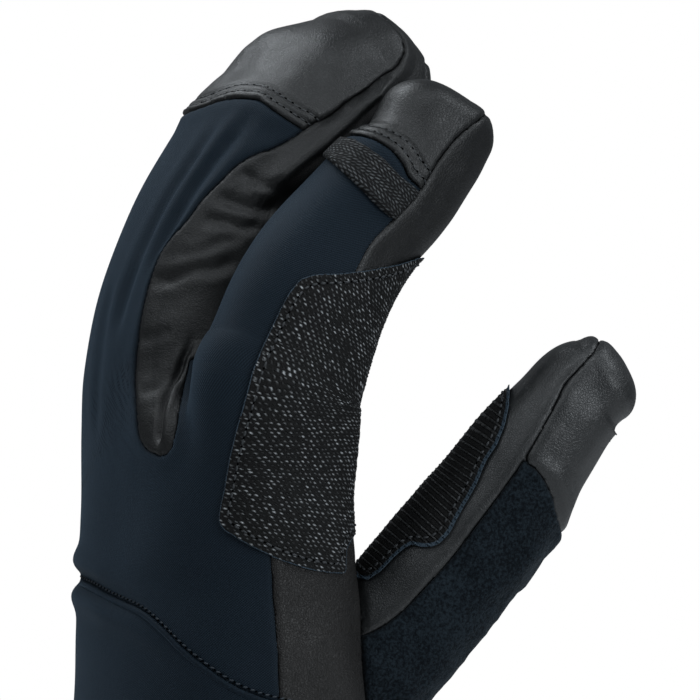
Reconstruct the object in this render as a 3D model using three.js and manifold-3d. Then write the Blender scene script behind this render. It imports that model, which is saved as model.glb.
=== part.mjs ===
// Left-hand snowboard mitten with a separate index finger, cut pre-curved.
//
// Millimetres. The origin is the centre of the opening that the hand goes into. +Z runs up the hand
// towards the fingertips, +Y out of the palm, -Y out of the back of the hand, and +X towards the index
// finger. The thumb lies in an upright plane turned 60 degrees from the X axis, and the seams are drawn
// in that plane.
import * as THREE from 'three';
import { mergeVertices } from 'three/addons/utils/BufferGeometryUtils.js';
import Module from 'manifold-3d';

const wasm = await Module();
wasm.setup();

// Walls and clearances
const WALL = 4; // outer cloth, insulation and lining together
const GAP = 0.3; // between neighbouring pieces
const CAP_PROUD = 0.8; // the leather caps lie over the edge of the cloth
const KNURL_PROUD = 1.8; // outer face of the knurled overlays above the cloth
const WEBBING_PROUD = 2.2; // outer face of the webbing above the cloth
const WELT_PROUD = 1.9; // outer face of the wrist piping above the cloth
const WELT_WIDTH = 2.6;

// Where the pieces end
const CLEFT_X = 16; // the plane between the mitt and the index finger
const CLEFT_FOOT = 118; // below this height the two fingers share one wall
const SIDE_PANEL_TOP = 121; // the side leather changes here, under the grip patch
const GUSSET_X = [-8, 24]; // the gusset's reach over the mitt and over the index finger
const GUSSET_PALM_EDGE = 12; // how far the gusset reaches past the middle of the mitt's side
const PALM_EDGE = 2; // how far the palm leather starts past the middle of the side
const LOOP_X = 25; // the webbing runs from here round to the side seam
const WELT_Y = 1; // the wrist piping ends here on the little-finger side
const THUMB_PLANE_TURN = THREE.MathUtils.degToRad(60);
const THROUGH = 150; // far enough to cut right through the part
const PAST_HEM = 12; // the space for the hand is cut from this far under the hem

// How finely each form is faceted: points round a section, and the step between sections
const MESHING = {
  hand: { around: 24, step: 8, tipRings: 3 },
  index: { around: 16, step: 9, tipRings: 3 },
  thumb: { around: 16, step: 10, tipRings: 3 },
  space: { around: 12, step: 22, tipRings: 2 },
};

// Each limb is lofted through sections across its centre line. side, out and up place a section's centre,
// halfWidth runs along the side axis and halfDepth across it, and square is the power of the rounded
// outline: 2 is an ellipse, and more is squarer.
const SECTION = ['side', 'out', 'up', 'halfWidth', 'halfDepth', 'square'];

const HAND_SECTIONS = [
  [0, 0, 0, 51, 38, 2.4],
  [0, 0, 32, 52, 36.5, 2.4],
  [0, -0.5, 60, 52, 34.6, 2.4],
  [0, -1, 74, 51.3, 32.4, 2.5],
  [0, -1.4, 84, 51.6, 32.4, 2.5],
  [0, -1.8, 98, 51.5, 31.2, 2.5],
  [-4, -2, 115, 48.5, 29.8, 2.5],
  [-15, -1.3, 129, 37.5, 28.6, 2.4],
  [-17.8, 0.8, 145, 35, 26.7, 2.4],
  [-17.8, 6.8, 163, 34.8, 25.4, 2.4],
  [-17.3, 16, 182, 34.2, 24.8, 2.4],
  [-15.5, 26.4, 198.5, 33, 24.7, 2.3],
  [-12, 38.8, 211.3, 29.5, 23.8, 2.2],
  [-9, 52.2, 217.2, 26, 22.3, 2.2],
];

const INDEX_SECTIONS = [
  [32, -2, 86, 15, 18, 2.2],
  [33, -1.8, 104, 17.6, 24, 2.2],
  [33, -0.8, 126, 19, 25.2, 2.2],
  [33, 3.6, 138, 18.5, 23.7, 2.2],
  [33, 8.7, 151, 18.5, 22.7, 2.2],
  [33, 15.6, 162, 18, 21.6, 2.2],
  [33, 26, 174, 17.5, 20, 2.2],
  [33, 36.2, 186, 17, 18.9, 2.2],
  [33, 46.2, 195.4, 16.5, 18.2, 2.2],
  [33, 54.6, 202.2, 15.5, 16.6, 2.2],
];

const THUMB_SECTIONS = [
  [5, 25, 31, 14, 16, 2.1],
  [5, 38, 45, 17, 20.5, 2.1],
  [5, 52, 61.1, 18, 20.8, 2.1],
  [5, 66.2, 78.4, 18, 20, 2.1],
  [5, 79, 93.5, 18, 20.3, 2.1],
  [5, 89.2, 110.5, 17.5, 19.4, 2.1],
  [5, 97.8, 121.8, 16, 17, 2.1],
  [5, 104.2, 129.5, 13.5, 14.2, 2.1],
];

const TIP = { hand: 18, index: 14.5, thumb: 14 }; // how far the rounded end reaches past the last section

// Folds and creases, pressed into the surface along a line between two points. turn is the angle in
// degrees round the section, from the index side over the back of the hand, and along is the length up
// the centre line. depth is how far the middle of the fold is pressed in.
const FOLD = ['turnFrom', 'alongFrom', 'turnTo', 'alongTo', 'width', 'depth'];

const HAND_FOLDS = [
  [112, 128, 108, 178, 4.5, 1], // long soft folds up the back of the mitt
  [134, 112, 128, 168, 5, 0.9],
  [66, 150, 20, 158, 4, 1.6], // creases across the gusset
  [62, 164, 16, 173, 4, 1.7],
  [58, 178, 14, 188, 4, 1.4],
  [150, 78, 60, 66, 5, 0.8], // the cloth draws in above the wrist seam
];

// Seam lines and outlines in the plane of the thumb, as [across, up]. across is the distance along that
// plane from the hand's middle, towards the thumb.
const WRIST_SEAM = [
  [-62, 77], [-40, 74], [-30, 70.6], [-21, 67.5], [-15, 63.2], [-9.4, 58], [-3.7, 53.5], [4.6, 48],
  [12.9, 44.4], [22, 42], [62, 42],
];

const SIDE_SEAM = [
  [20, -20], [18.4, 43.8], [17.6, 59.8], [16.5, 73.7], [16, 86], [17, 101], [19.5, 118], [24, 134],
  [30.8, 148.3], [36.8, 158.2], [40, 162.9], [43.9, 169.9], [49.8, 176.1], [54.6, 181.3], [57.7, 185],
  [63.1, 193.5], [68.8, 200.5], [76.4, 207], [88, 220],
];

const GUSSET_SEAM = [
  [-16.2, 110.6], [-19.1, 111.7], [-21.2, 113.9], [-22.4, 118], [-22.9, 124], [-23.4, 134.3],
  [-22.2, 147.1], [-20.2, 157], [-17.7, 165], [-14.6, 170.7], [-8.9, 177], [-4.3, 183.2], [0.8, 188.3],
  [6.5, 193.5], [12.2, 196.3], [16.4, 197.7], [22.1, 200.9], [26.7, 204.3], [32.1, 206.8],
  [37.8, 211.5], [42.1, 214.2], [47.2, 218.7], [51.3, 221.4], [53.8, 225.9], [53.4, 230.1], [50.5, 234],
  [44, 240],
];
const GUSSET_FOOT = [
  [-16.2, 110.6], [-13, 112.1], [-11.6, 116.3], [-10.6, 122.7], [-9.4, 128.8], [-7.3, 137.7], [60, 138],
  [60, 240],
];

const MITT_CAP_SEAM = [
  [-30, 200], [-16, 207], [-9.6, 209.3], [-5.6, 210.3], [0.4, 212], [6.2, 212.4], [11.5, 211.5],
  [15.5, 208.7], [20.1, 205.5], [24.4, 202.7], [29.6, 198.5], [34, 194], [52, 183], [90, 165],
];

const INDEX_CAP_SEAM = [
  [20, 203], [28, 201.8], [37.8, 201.1], [42, 200.4], [46.2, 198.5], [50.4, 195.3], [53.2, 191.4],
  [57.7, 185.5], [90, 160],
];

const LOOP_OUTLINE = [
  [28, 198.5], [33.5, 198.6], [39.2, 199.2], [43.4, 196.5], [47.6, 193.3], [51.8, 188.8], [57.4, 184.4],
  [66, 176], [58, 168], [49.8, 176.3], [44.8, 180.8], [39.2, 186.5], [33.6, 191.7], [30.7, 193.6],
  [24, 197],
];

const GRIP_OUTLINE = [
  [62, 166.4], [57.5, 166], [51.8, 164.1], [43.4, 162.3], [35, 161.3], [28, 161], [23.9, 159.7],
  [20.6, 155.5], [17.3, 148.9], [13.4, 140.6], [10.7, 133.9], [8.8, 126.2], [6.3, 117.9], [4.3, 109.6],
  [2.9, 101.3], [1.5, 94.4], [1.6, 91.6], [4.1, 89.4], [10.2, 85.9], [18.4, 81.9], [26.7, 79],
  [32.2, 78], [36.6, 77.6], [36.8, 84.4], [41.5, 92], [52, 110], [66, 140], [76, 166],
];

const THUMB_PATCH_OUTLINE = [
  [37.7, 84.6], [37.6, 79.5], [39.5, 75.6], [42.9, 75], [46.2, 77.3], [50.5, 81.8], [54.4, 85.2],
  [58.6, 84.4], [62.5, 85], [65.9, 88.5], [68.2, 93], [71, 97.8], [73.8, 102.8], [75.8, 108.2],
  [79.2, 113.2], [81.5, 118.8], [82.8, 124.5], [83.2, 130], [78, 135], [62, 130], [46, 98], [42, 91.5],
];

const THUMB_TIP_SEAM = [
  [118, 158], [108, 142], [105.1, 138.3], [102.2, 134.9], [98.2, 130.4], [95.8, 125.3], [92.7, 119.4],
  [89.8, 114.1],
];
const SUEDE_TOP = [
  [87.3, 108.8], [90.7, 105.7], [93.5, 101.7], [95.6, 97.4], [97.1, 91.9], [102, 76],
];
const SUEDE_SEAM = [
  [28, 55], [36, 57.6], [42.3, 60], [47.6, 62.6], [53.2, 67.1], [59.7, 73.9], [66.5, 81.5],
  [72.9, 89.9], [79.4, 98.6], [85.6, 107.1],
];

// Surfaces
const SOFTSHELL = { color: 0x1f2a36, roughness: 0.85 };
const CAP_LEATHER = { color: 0x1b1d1f, roughness: 0.55 };
const SIDE_LEATHER = { color: 0x2b2725, roughness: 0.6 };
const GUSSET_LEATHER = { color: 0x24211f, roughness: 0.6 };
const KNURL = { color: 0x1d2023, roughness: 0.5 };
const SUEDE = { color: 0x151b22, roughness: 0.95 };
const WEBBING = { color: 0x17191b, roughness: 0.8 };

const FINISHES = {
  back_panel: SOFTSHELL,
  cuff_panel: SOFTSHELL,
  wrist_piping: SOFTSHELL,
  palm_panel: CAP_LEATHER,
  side_panel: SIDE_LEATHER,
  mitt_cap: CAP_LEATHER,
  finger_gusset: GUSSET_LEATHER,
  index_cap: CAP_LEATHER,
  index_palm: CAP_LEATHER,
  finger_loop: WEBBING,
  grip_patch: KNURL,
  thumb_patch: KNURL,
  thumb_wall: CAP_LEATHER,
  thumb_tip: CAP_LEATHER,
  thumb_back: SUEDE,
};

// The axes of the hand and of the thumb's plane
const UP = new THREE.Vector3(0, 0, 1);
const HAND_AXES = { side: new THREE.Vector3(1, 0, 0), out: new THREE.Vector3(0, 1, 0) };
const THUMB_AXES = {
  side: new THREE.Vector3(Math.sin(THUMB_PLANE_TURN), -Math.cos(THUMB_PLANE_TURN), 0),
  out: new THREE.Vector3(Math.cos(THUMB_PLANE_TURN), Math.sin(THUMB_PLANE_TURN), 0),
};

// A table's rows as objects with the named columns.
function table(columns, rows) {
  return rows.map((row) => Object.fromEntries(columns.map((name, i) => [name, row[i]])));
}

// The smooth value of one column at a place x along the rows, by Catmull-Rom.
function between(rows, column, x) {
  const last = rows.length - 1;
  const i = Math.min(last - 1, Math.floor(x));
  const t = x - i;
  const [a, b, c, d] = [-1, 0, 1, 2].map((k) => rows[THREE.MathUtils.clamp(i + k, 0, last)][column]);
  const bend = (2 * a - 5 * b + 4 * c - d) * t * t + (3 * b - a - 3 * c + d) * t * t * t;
  return 0.5 * (2 * b + (c - a) * t + bend);
}

// One section at a place x along the rows, with the direction of the centre line between two places
// nearby.
const NEARBY = 0.02;
function sectionAt(rows, x, along) {
  const section = Object.fromEntries(SECTION.map((column) => [column, between(rows, column, x)]));
  const before = Math.max(0, x - NEARBY);
  const after = Math.min(rows.length - 1, x + NEARBY);
  const out = between(rows, 'out', after) - between(rows, 'out', before);
  const up = between(rows, 'up', after) - between(rows, 'up', before);
  const length = Math.hypot(out, up);
  return { ...section, along, aheadOut: out / length, aheadUp: up / length };
}

// Sections at about even steps along the centre line.
function sectionsAlong(rows, step) {
  const sections = [];
  let along = 0;
  for (let i = 0; i + 1 < rows.length; i++) {
    const [from, to] = [rows[i], rows[i + 1]];
    const span = Math.hypot(to.side - from.side, to.out - from.out, to.up - from.up);
    const count = Math.max(1, Math.round(span / step));
    for (let k = 0; k < count; k++) {
      sections.push(sectionAt(rows, i + k / count, along + (span * k) / count));
    }
    along += span;
  }
  sections.push(sectionAt(rows, rows.length - 1, along));
  return sections;
}

// How far the folds press the surface in, at a turn round the section and a length along the limb.
function foldDepth(folds, turn, along, radius) {
  const arc = THREE.MathUtils.degToRad(radius);
  let pressed = 0;
  for (const fold of folds) {
    const from = new THREE.Vector2(fold.turnFrom * arc, fold.alongFrom);
    const line = new THREE.Vector2(fold.turnTo * arc, fold.alongTo).sub(from);
    const point = new THREE.Vector2(turn * arc, along).sub(from);
    const t = THREE.MathUtils.clamp(point.dot(line) / line.lengthSq(), 0, 1);
    const distance = point.distanceTo(line.multiplyScalar(t));
    pressed += fold.depth * Math.exp(-((distance / fold.width) ** 2));
  }
  return pressed;
}

// The signed power of a cosine or sine, which squares off a round outline.
function squared(value, square) {
  return Math.sign(value) * Math.abs(value) ** (2 / square);
}

// One ring of points round a section. scale and ahead shape the rounded end of the limb.
function ring(section, axes, grow, around, folds, scale = 1, ahead = 0) {
  const centre = axes.side.clone().multiplyScalar(section.side);
  centre.addScaledVector(axes.out, section.out + section.aheadOut * ahead);
  centre.addScaledVector(UP, section.up + section.aheadUp * ahead);
  const across = axes.out.clone().multiplyScalar(section.aheadUp).addScaledVector(UP, -section.aheadOut);
  const points = [];
  for (let j = 0; j < around; j++) {
    const angle = (2 * Math.PI * j) / around;
    const cos = squared(Math.cos(angle), section.square);
    const sin = squared(Math.sin(angle), section.square);
    const radius = Math.hypot(section.halfWidth * cos, section.halfDepth * sin);
    const turn = THREE.MathUtils.radToDeg(angle);
    const skin = grow - foldDepth(folds, turn, section.along + ahead, radius);
    const point = centre.clone().addScaledVector(axes.side, (section.halfWidth + skin) * cos * scale);
    points.push(point.addScaledVector(across, -(section.halfDepth + skin) * sin * scale));
  }
  return points;
}

// A solid from points and faces, turned if need be so that its faces point out.
function solidFrom(points, faces) {
  const vertProperties = new Float32Array(points.flatMap((point) => [point.x, point.y, point.z]));
  const triVerts = new Uint32Array(faces);
  const solid = new wasm.Manifold(new wasm.Mesh({ numProp: 3, vertProperties, triVerts }));
  if (solid.volume() > 0) {
    return solid;
  }
  const turned = new Uint32Array(faces.length);
  for (let i = 0; i < faces.length; i += 3) {
    turned.set([faces[i], faces[i + 2], faces[i + 1]], i);
  }
  return new wasm.Manifold(new wasm.Mesh({ numProp: 3, vertProperties, triVerts: turned }));
}

// A limb as a solid with a flat foot and a rounded end, grown outwards by grow.
function limb(rows, axes, meshing, tip, grow, folds = []) {
  const sections = sectionsAlong(rows, meshing.step);
  const around = meshing.around;
  const rings = sections.map((section) => ring(section, axes, grow, around, folds));
  const last = sections[sections.length - 1];
  for (let k = 1; k < meshing.tipRings; k++) {
    const angle = (Math.PI / 2) * (k / meshing.tipRings);
    const scale = squared(Math.cos(angle), last.square);
    const ahead = (tip + grow) * squared(Math.sin(angle), last.square);
    rings.push(ring(last, axes, grow, around, folds, scale, ahead));
  }
  const points = rings.flat();
  const foot = points.push(ring(sections[0], axes, 0, 1, [], 0)[0]) - 1;
  const apex = points.push(ring(last, axes, 0, 1, [], 0, tip + grow)[0]) - 1;
  const top = (rings.length - 1) * around;
  const faces = [];
  for (let j = 0; j < around; j++) {
    const next = (j + 1) % around;
    faces.push(foot, next, j, top + j, top + next, apex);
    for (let i = 0; i < top; i += around) {
      faces.push(i + j, i + next, i + next + around, i + j, i + next + around, i + j + around);
    }
  }
  return solidFrom(points, faces);
}

// A solid from a three.js geometry.
function solidFromGeometry(geometry) {
  const bare = geometry.index ? geometry.toNonIndexed() : geometry.clone();
  bare.deleteAttribute('normal');
  bare.deleteAttribute('uv');
  const merged = mergeVertices(bare, 1e-4);
  const position = merged.getAttribute('position');
  const points = [];
  for (let i = 0; i < position.count; i++) {
    points.push(new THREE.Vector3().fromBufferAttribute(position, i));
  }
  return solidFrom(points, Array.from(merged.index.array));
}

// A closed outline with every corner moved outwards by grow. A sharp corner moves by no more than grow
// over SHARPEST.
const SHARPEST = 0.5;
function grownOutline(outline, grow) {
  const points = outline.map(([x, y]) => new THREE.Vector2(x, y));
  const outwards = THREE.ShapeUtils.area(points) > 0 ? grow : -grow;
  return points.map((point, i) => {
    const before = points[(i + points.length - 1) % points.length];
    const after = points[(i + 1) % points.length];
    const arriving = point.clone().sub(before).normalize();
    const leaving = after.clone().sub(point).normalize();
    const normal = new THREE.Vector2(arriving.y + leaving.y, -arriving.x - leaving.x).normalize();
    const corner = Math.max(SHARPEST, normal.x * arriving.y - normal.y * arriving.x);
    return point.clone().addScaledVector(normal, outwards / corner);
  });
}

// A block that cuts right through the part, with an outline in the plane of right and up.
function prism(outline, right, grow) {
  const shape = new THREE.Shape(grownOutline(outline, grow));
  const geometry = new THREE.ExtrudeGeometry(shape, { depth: 2 * THROUGH, bevelEnabled: false, steps: 1 });
  geometry.translate(0, 0, -THROUGH);
  const through = new THREE.Vector3().crossVectors(right, UP);
  geometry.applyMatrix4(new THREE.Matrix4().makeBasis(right, UP, through));
  return solidFromGeometry(geometry);
}

// A box between two corners.
function block(low, high) {
  const size = high.map((value, i) => value - low[i]);
  const geometry = new THREE.BoxGeometry(...size);
  geometry.translate(...low.map((value, i) => value + size[i] / 2));
  return solidFromGeometry(geometry);
}

// An outline of all that lies over, under, left or right of a seam line, as far as the part reaches.
const over = (line) => [...line, [line.at(-1)[0], 2 * THROUGH], [line[0][0], 2 * THROUGH]];
const under = (line) => [...line, [line.at(-1)[0], -THROUGH], [line[0][0], -THROUGH]];
const rightOf = (line) => [...line, [THROUGH, line.at(-1)[1]], [THROUGH, line[0][1]]];
const leftOf = (line) => [...line, [-THROUGH, line.at(-1)[1]], [-THROUGH, line[0][1]]];

// Zones say where a piece lies. Each is a function of how far it is grown, so that the same zone cuts a
// piece out and, grown by the gap, clears its neighbours.
const inThumbPlane = (outline) => (grow) => prism(outline, THUMB_AXES.out, grow);
const inHandPlane = (outline) => (grow) => prism(outline, HAND_AXES.out, grow);
const betweenX = (low, high) => (grow) => {
  return block([low - grow, -THROUGH, -THROUGH], [high + grow, THROUGH, 2 * THROUGH]);
};
const betweenY = (low, high) => (grow) => {
  return block([-THROUGH, low - grow, -THROUGH], [THROUGH, high + grow, 2 * THROUGH]);
};
const below = (height) => (grow) => {
  return block([-THROUGH, -THROUGH, -THROUGH], [THROUGH, THROUGH, height + grow]);
};
const both = (...zones) => (grow) => zones.map((zone) => zone(grow)).reduce((a, b) => a.intersect(b));
const either = (...zones) => (grow) => zones.map((zone) => zone(grow)).reduce((a, b) => a.add(b));

// The limbs, grown outwards by grow
const hand = table(SECTION, HAND_SECTIONS);
const index = table(SECTION, INDEX_SECTIONS);
const thumb = table(SECTION, THUMB_SECTIONS);
const handFolds = table(FOLD, HAND_FOLDS);

function handLimb(grow) {
  return limb(hand, HAND_AXES, MESHING.hand, TIP.hand, grow, handFolds);
}
function indexLimb(grow) {
  return limb(index, HAND_AXES, MESHING.index, TIP.index, grow);
}
function thumbLimb(grow) {
  return limb(thumb, THUMB_AXES, MESHING.thumb, TIP.thumb, grow);
}

// The space for the hand and its fingers, open at the hem.
function handSpace() {
  const underHem = { ...hand[0], up: -PAST_HEM };
  const palmAndMitt = limb([underHem, ...hand], HAND_AXES, MESHING.space, TIP.hand, -WALL);
  const indexFinger = limb(index, HAND_AXES, MESHING.space, TIP.index, -WALL);
  return palmAndMitt.add(indexFinger).add(limb(thumb, THUMB_AXES, MESHING.space, TIP.thumb, -WALL));
}

// The hand's centre line seen from the thumb side, moved towards the palm by shift. Past the fingertips
// it runs on up and towards the palm.
function middleOfHand(shift) {
  const line = hand.map(({ out, up }) => [out + shift, up]);
  const pastTips = [THROUGH - 1, 2 * THROUGH];
  return [[shift, -THROUGH], ...line, pastTips];
}

// The largest body of a cut, without the slivers that a seam leaves beside it.
function largest(solid) {
  return solid.decompose().reduce((best, body) => (body.volume() > best.volume() ? body : best));
}

// The hand and its two fingers, cut one piece after the other out of one shell. What is left after each
// piece loses that piece's zone with the gap.
function cutHand(space) {
  const cloth = handLimb(0).add(indexLimb(0));
  const proud = handLimb(CAP_PROUD).add(indexLimb(CAP_PROUD));
  const cleft = block([CLEFT_X - GAP / 2, -THROUGH, CLEFT_FOOT], [CLEFT_X + GAP / 2, THROUGH, 2 * THROUGH]);
  const mittSide = betweenX(-THROUGH, CLEFT_X - GAP / 2);
  const indexSide = betweenX(CLEFT_X + GAP / 2, THROUGH);
  const thumbSide = both(inThumbPlane(rightOf(SIDE_SEAM)), indexSide);
  const gussetOnMitt = both(inThumbPlane(rightOf(GUSSET_SEAM)), betweenX(GUSSET_X[0], CLEFT_X));
  const gussetOnIndex = both(inThumbPlane(leftOf(GUSSET_FOOT)), betweenX(CLEFT_X, GUSSET_X[1]));
  const backOfGussetEdge = inHandPlane(leftOf(middleOfHand(GUSSET_PALM_EDGE)));

  let rest = proud.subtract(space).subtract(cleft);
  const pieces = {};
  const take = (name, zone, outside) => {
    pieces[name] = largest(rest.intersect(zone(0)).intersect(outside));
    rest = rest.subtract(zone(GAP));
  };
  take('side_panel', both(thumbSide, below(SIDE_PANEL_TOP)), cloth);
  take('index_palm', thumbSide, cloth);
  take('index_cap', both(inThumbPlane(over(INDEX_CAP_SEAM)), indexSide), proud);
  take('finger_gusset', both(either(gussetOnMitt, gussetOnIndex), backOfGussetEdge), cloth);
  take('mitt_cap', both(inThumbPlane(over(MITT_CAP_SEAM)), mittSide), proud);
  take('cuff_panel', inThumbPlane(under(WRIST_SEAM)), cloth);
  take('palm_panel', both(inHandPlane(rightOf(middleOfHand(PALM_EDGE))), mittSide), cloth);
  pieces.back_panel = largest(rest.intersect(cloth));
  return pieces;
}

// The thumb, set in where it leaves the hand.
function cutThumb(space) {
  let rest = thumbLimb(0).subtract(space).subtract(handLimb(GAP)).subtract(indexLimb(GAP));
  const pieces = {};
  const take = (name, zone) => {
    pieces[name] = largest(rest.intersect(zone(0)));
    rest = rest.subtract(zone(GAP));
  };
  take('thumb_tip', inThumbPlane(rightOf([...THUMB_TIP_SEAM, ...SUEDE_TOP])));
  take('thumb_back', inThumbPlane(under([...SUEDE_SEAM, ...SUEDE_TOP])));
  pieces.thumb_wall = largest(rest);
  return pieces;
}

// What is sewn on over the cloth and leather: a skin from just above the surface to the given height.
function cutOverlays() {
  const overSurface = (lower, upper, limbs) => {
    const grown = (grow) => limbs.map((make) => make(grow)).reduce((a, b) => a.add(b));
    return grown(upper).subtract(grown(lower));
  };
  const knurl = overSurface(GAP, KNURL_PROUD, [handLimb, indexLimb, thumbLimb]);
  const webbing = overSurface(GAP, WEBBING_PROUD, [indexLimb]);
  const welt = overSurface(GAP, WELT_PROUD, [handLimb]);
  const backOfSideSeam = inThumbPlane(leftOf(SIDE_SEAM));
  const onWristSeam = inThumbPlane([
    ...WRIST_SEAM.map(([across, up]) => [across, up + WELT_WIDTH / 2]),
    ...WRIST_SEAM.map(([across, up]) => [across, up - WELT_WIDTH / 2]).reverse(),
  ]);
  const shapes = {
    grip_patch: [knurl, both(inThumbPlane(GRIP_OUTLINE), betweenX(CLEFT_X + GAP, THROUGH))],
    thumb_patch: [knurl, inThumbPlane(THUMB_PATCH_OUTLINE)],
    finger_loop: [webbing, both(inThumbPlane(LOOP_OUTLINE), backOfSideSeam, betweenX(LOOP_X, THROUGH))],
    wrist_piping: [welt, both(onWristSeam, backOfSideSeam, betweenY(-THROUGH, WELT_Y))],
  };
  return Object.fromEntries(
    Object.entries(shapes).map(([name, [skin, zone]]) => [name, largest(skin.intersect(zone(0)))]),
  );
}

// A named mesh of a solid, with its own material.
function meshOf(name, solid) {
  const { vertProperties, triVerts } = solid.getMesh();
  const geometry = new THREE.BufferGeometry();
  geometry.setAttribute('position', new THREE.BufferAttribute(vertProperties, 3));
  geometry.setIndex(new THREE.BufferAttribute(triVerts, 1));
  geometry.computeVertexNormals();
  const mesh = new THREE.Mesh(geometry, new THREE.MeshStandardMaterial({ ...FINISHES[name], metalness: 0 }));
  mesh.name = name;
  return mesh;
}

const space = handSpace();
const pieces = { ...cutHand(space), ...cutThumb(space), ...cutOverlays() };
const mitten = new THREE.Group();
mitten.name = 'snowboard_mitten';
mitten.add(...Object.entries(pieces).map(([name, solid]) => meshOf(name, solid)));

export default mitten;
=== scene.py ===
import math

import bmesh
import bpy
import numpy as np
from mathutils import Matrix, Vector, noise
from mathutils.bvhtree import BVHTree
from mathutils.kdtree import KDTree


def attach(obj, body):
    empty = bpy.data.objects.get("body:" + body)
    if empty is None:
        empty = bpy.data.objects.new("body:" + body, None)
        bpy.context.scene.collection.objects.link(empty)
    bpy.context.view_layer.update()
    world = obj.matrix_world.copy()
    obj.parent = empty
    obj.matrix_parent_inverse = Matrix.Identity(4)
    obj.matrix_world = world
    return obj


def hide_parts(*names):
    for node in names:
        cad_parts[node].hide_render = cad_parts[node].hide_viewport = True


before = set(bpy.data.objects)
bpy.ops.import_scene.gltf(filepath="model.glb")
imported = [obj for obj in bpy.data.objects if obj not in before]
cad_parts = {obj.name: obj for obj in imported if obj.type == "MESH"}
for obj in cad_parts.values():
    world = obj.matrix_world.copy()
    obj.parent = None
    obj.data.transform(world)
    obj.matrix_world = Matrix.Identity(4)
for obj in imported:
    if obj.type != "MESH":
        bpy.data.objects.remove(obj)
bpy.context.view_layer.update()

# The form
# The mitten is sewn from panels round a pre-curved hand. Its skin is lofted first as one form: the palm that
# narrows into the mitt, the tube for the index finger, and the tube for the thumb, set in at the side.

MM = 0.001
# side, out and up place a section's centre, then come its half width, its half depth and the power of its
# rounded outline, all in millimetres
HAND = [
    (0, 0, -8, 50.6, 38.2, 2.4),
    (0, 0, 0, 51, 38, 2.4),
    (0, 0.1, 32, 52, 36.4, 2.4),
    (0, -0.3, 60, 52, 34.4, 2.4),
    (0, -0.6, 74, 51.3, 31.9, 2.5),
    (0, -1, 84, 51.6, 31.9, 2.5),
    (0, -1.4, 98, 51.5, 30.7, 2.5),
    (-4, -1.6, 115, 48.5, 29.3, 2.5),
    (-15, -0.9, 129, 37.5, 28.1, 2.4),
    (-17.8, 1.1, 145, 35, 26.3, 2.4),
    (-17.8, 6.9, 163, 34.8, 25.2, 2.4),
    (-17.3, 16, 182, 34.2, 24.8, 2.4),
    (-15, 24.9, 198, 33.5, 24.2, 2.3),
    (-13.4, 31.5, 205.6, 32, 23.3, 2.25),
    (-11.4, 39.2, 211.5, 30, 25.6, 2.2),
    (-9, 50, 217.5, 26.5, 22.7, 2.15),
]
INDEX = [
    (32, -2, 86, 15, 18, 2.2),
    (33, -0.4, 104, 17.6, 24.6, 2.2),
    (33, 0.1, 126, 19, 25.6, 2.2),
    (33, 4.3, 138, 18.5, 23.8, 2.2),
    (33, 9.6, 151, 18.5, 23, 2.2),
    (33, 16.2, 162, 18, 21.8, 2.2),
    (33, 26.2, 174, 17.5, 20.1, 2.2),
    (33.4, 37.5, 185.1, 16.6, 20, 2.2),
    (33.7, 46.6, 194, 16, 18.1, 2.2),
    (33.7, 52.4, 203.2, 15.2, 18, 2.3),
]
THUMB = [
    (5, 25, 31, 14, 16, 2.1),
    (5, 38, 45, 17, 20.5, 2.1),
    (5, 52, 61.1, 18, 21.1, 2.1),
    (5, 65.8, 78.8, 18, 21.3, 2.1),
    (5, 78.6, 93.8, 18, 20.5, 2.1),
    (5, 89.4, 110.4, 17.5, 18.3, 2.1),
    (5, 98.2, 121.6, 16, 16.4, 2.2),
    (5, 104.1, 128.2, 14.2, 15.9, 2.2),
    (5, 109, 131.2, 13.2, 13.6, 2.2),
]

# The thumb lies in an upright plane turned 60 degrees, and the seams are drawn in that plane
ACROSS = np.array([0.5, math.sqrt(0.75), 0.0])
TOWARDS = np.array([math.sqrt(0.75), -0.5, 0.0])
UP = np.array([0.0, 0.0, 1.0])
X_AXIS = np.array([1.0, 0.0, 0.0])
Y_AXIS = np.array([0.0, 1.0, 0.0])

HAND_TUBE, INDEX_TUBE, THUMB_TUBE = 0, 1, 2
# each tube's name, its sections, the axes of their width and depth, how far its rounded end reaches past the
# last section, and the number of corners round it
TUBES = [
    ("hand", HAND, X_AXIS, Y_AXIS, 20, 200),
    ("index", INDEX, X_AXIS, Y_AXIS, 12.2, 96),
    ("thumb", THUMB, TOWARDS, ACROSS, 9.4, 96),
]
LOFT_STEPS, TIP_RINGS = 12, 14
WELD = 0.3
# the knuckle is smoothed by a share that grows from the first value of each pair to the second
KNUCKLE_FROM_BELOW, KNUCKLE_FROM_ABOVE = (80, 88), (130, 112)
KNUCKLE_FROM_MITT, KNUCKLE_FROM_PALM = (4, 8), (60, 55)
KNUCKLE_PASSES = 40


def assign(target, **settings):
    """Sets several properties of one thing."""
    for key, value in settings.items():
        setattr(target, key, value)
    return target


def placed(name, data):
    """A new object in the scene."""
    made = bpy.data.objects.new(name, data)
    bpy.context.scene.collection.objects.link(made)
    return made


def mesh_object(name, bm):
    """A bmesh, which is used up, as an object."""
    mesh = bpy.data.meshes.new(name)
    bm.to_mesh(mesh)
    bm.free()
    return placed(name, mesh)


def evaluated_mesh(holder):
    return bpy.data.meshes.new_from_object(holder.evaluated_get(bpy.context.evaluated_depsgraph_get()))


def coordinates(verts):
    return np.array([vert.co for vert in verts])


def ramp(values, start, end):
    """Goes from 0 at the start to 1 at the end."""
    return np.clip((values - start) / (end - start), 0, 1)


def bell(distance, width):
    """A soft rise round the places where a distance is nought."""
    return np.exp(-((distance / width) ** 2))


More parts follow.
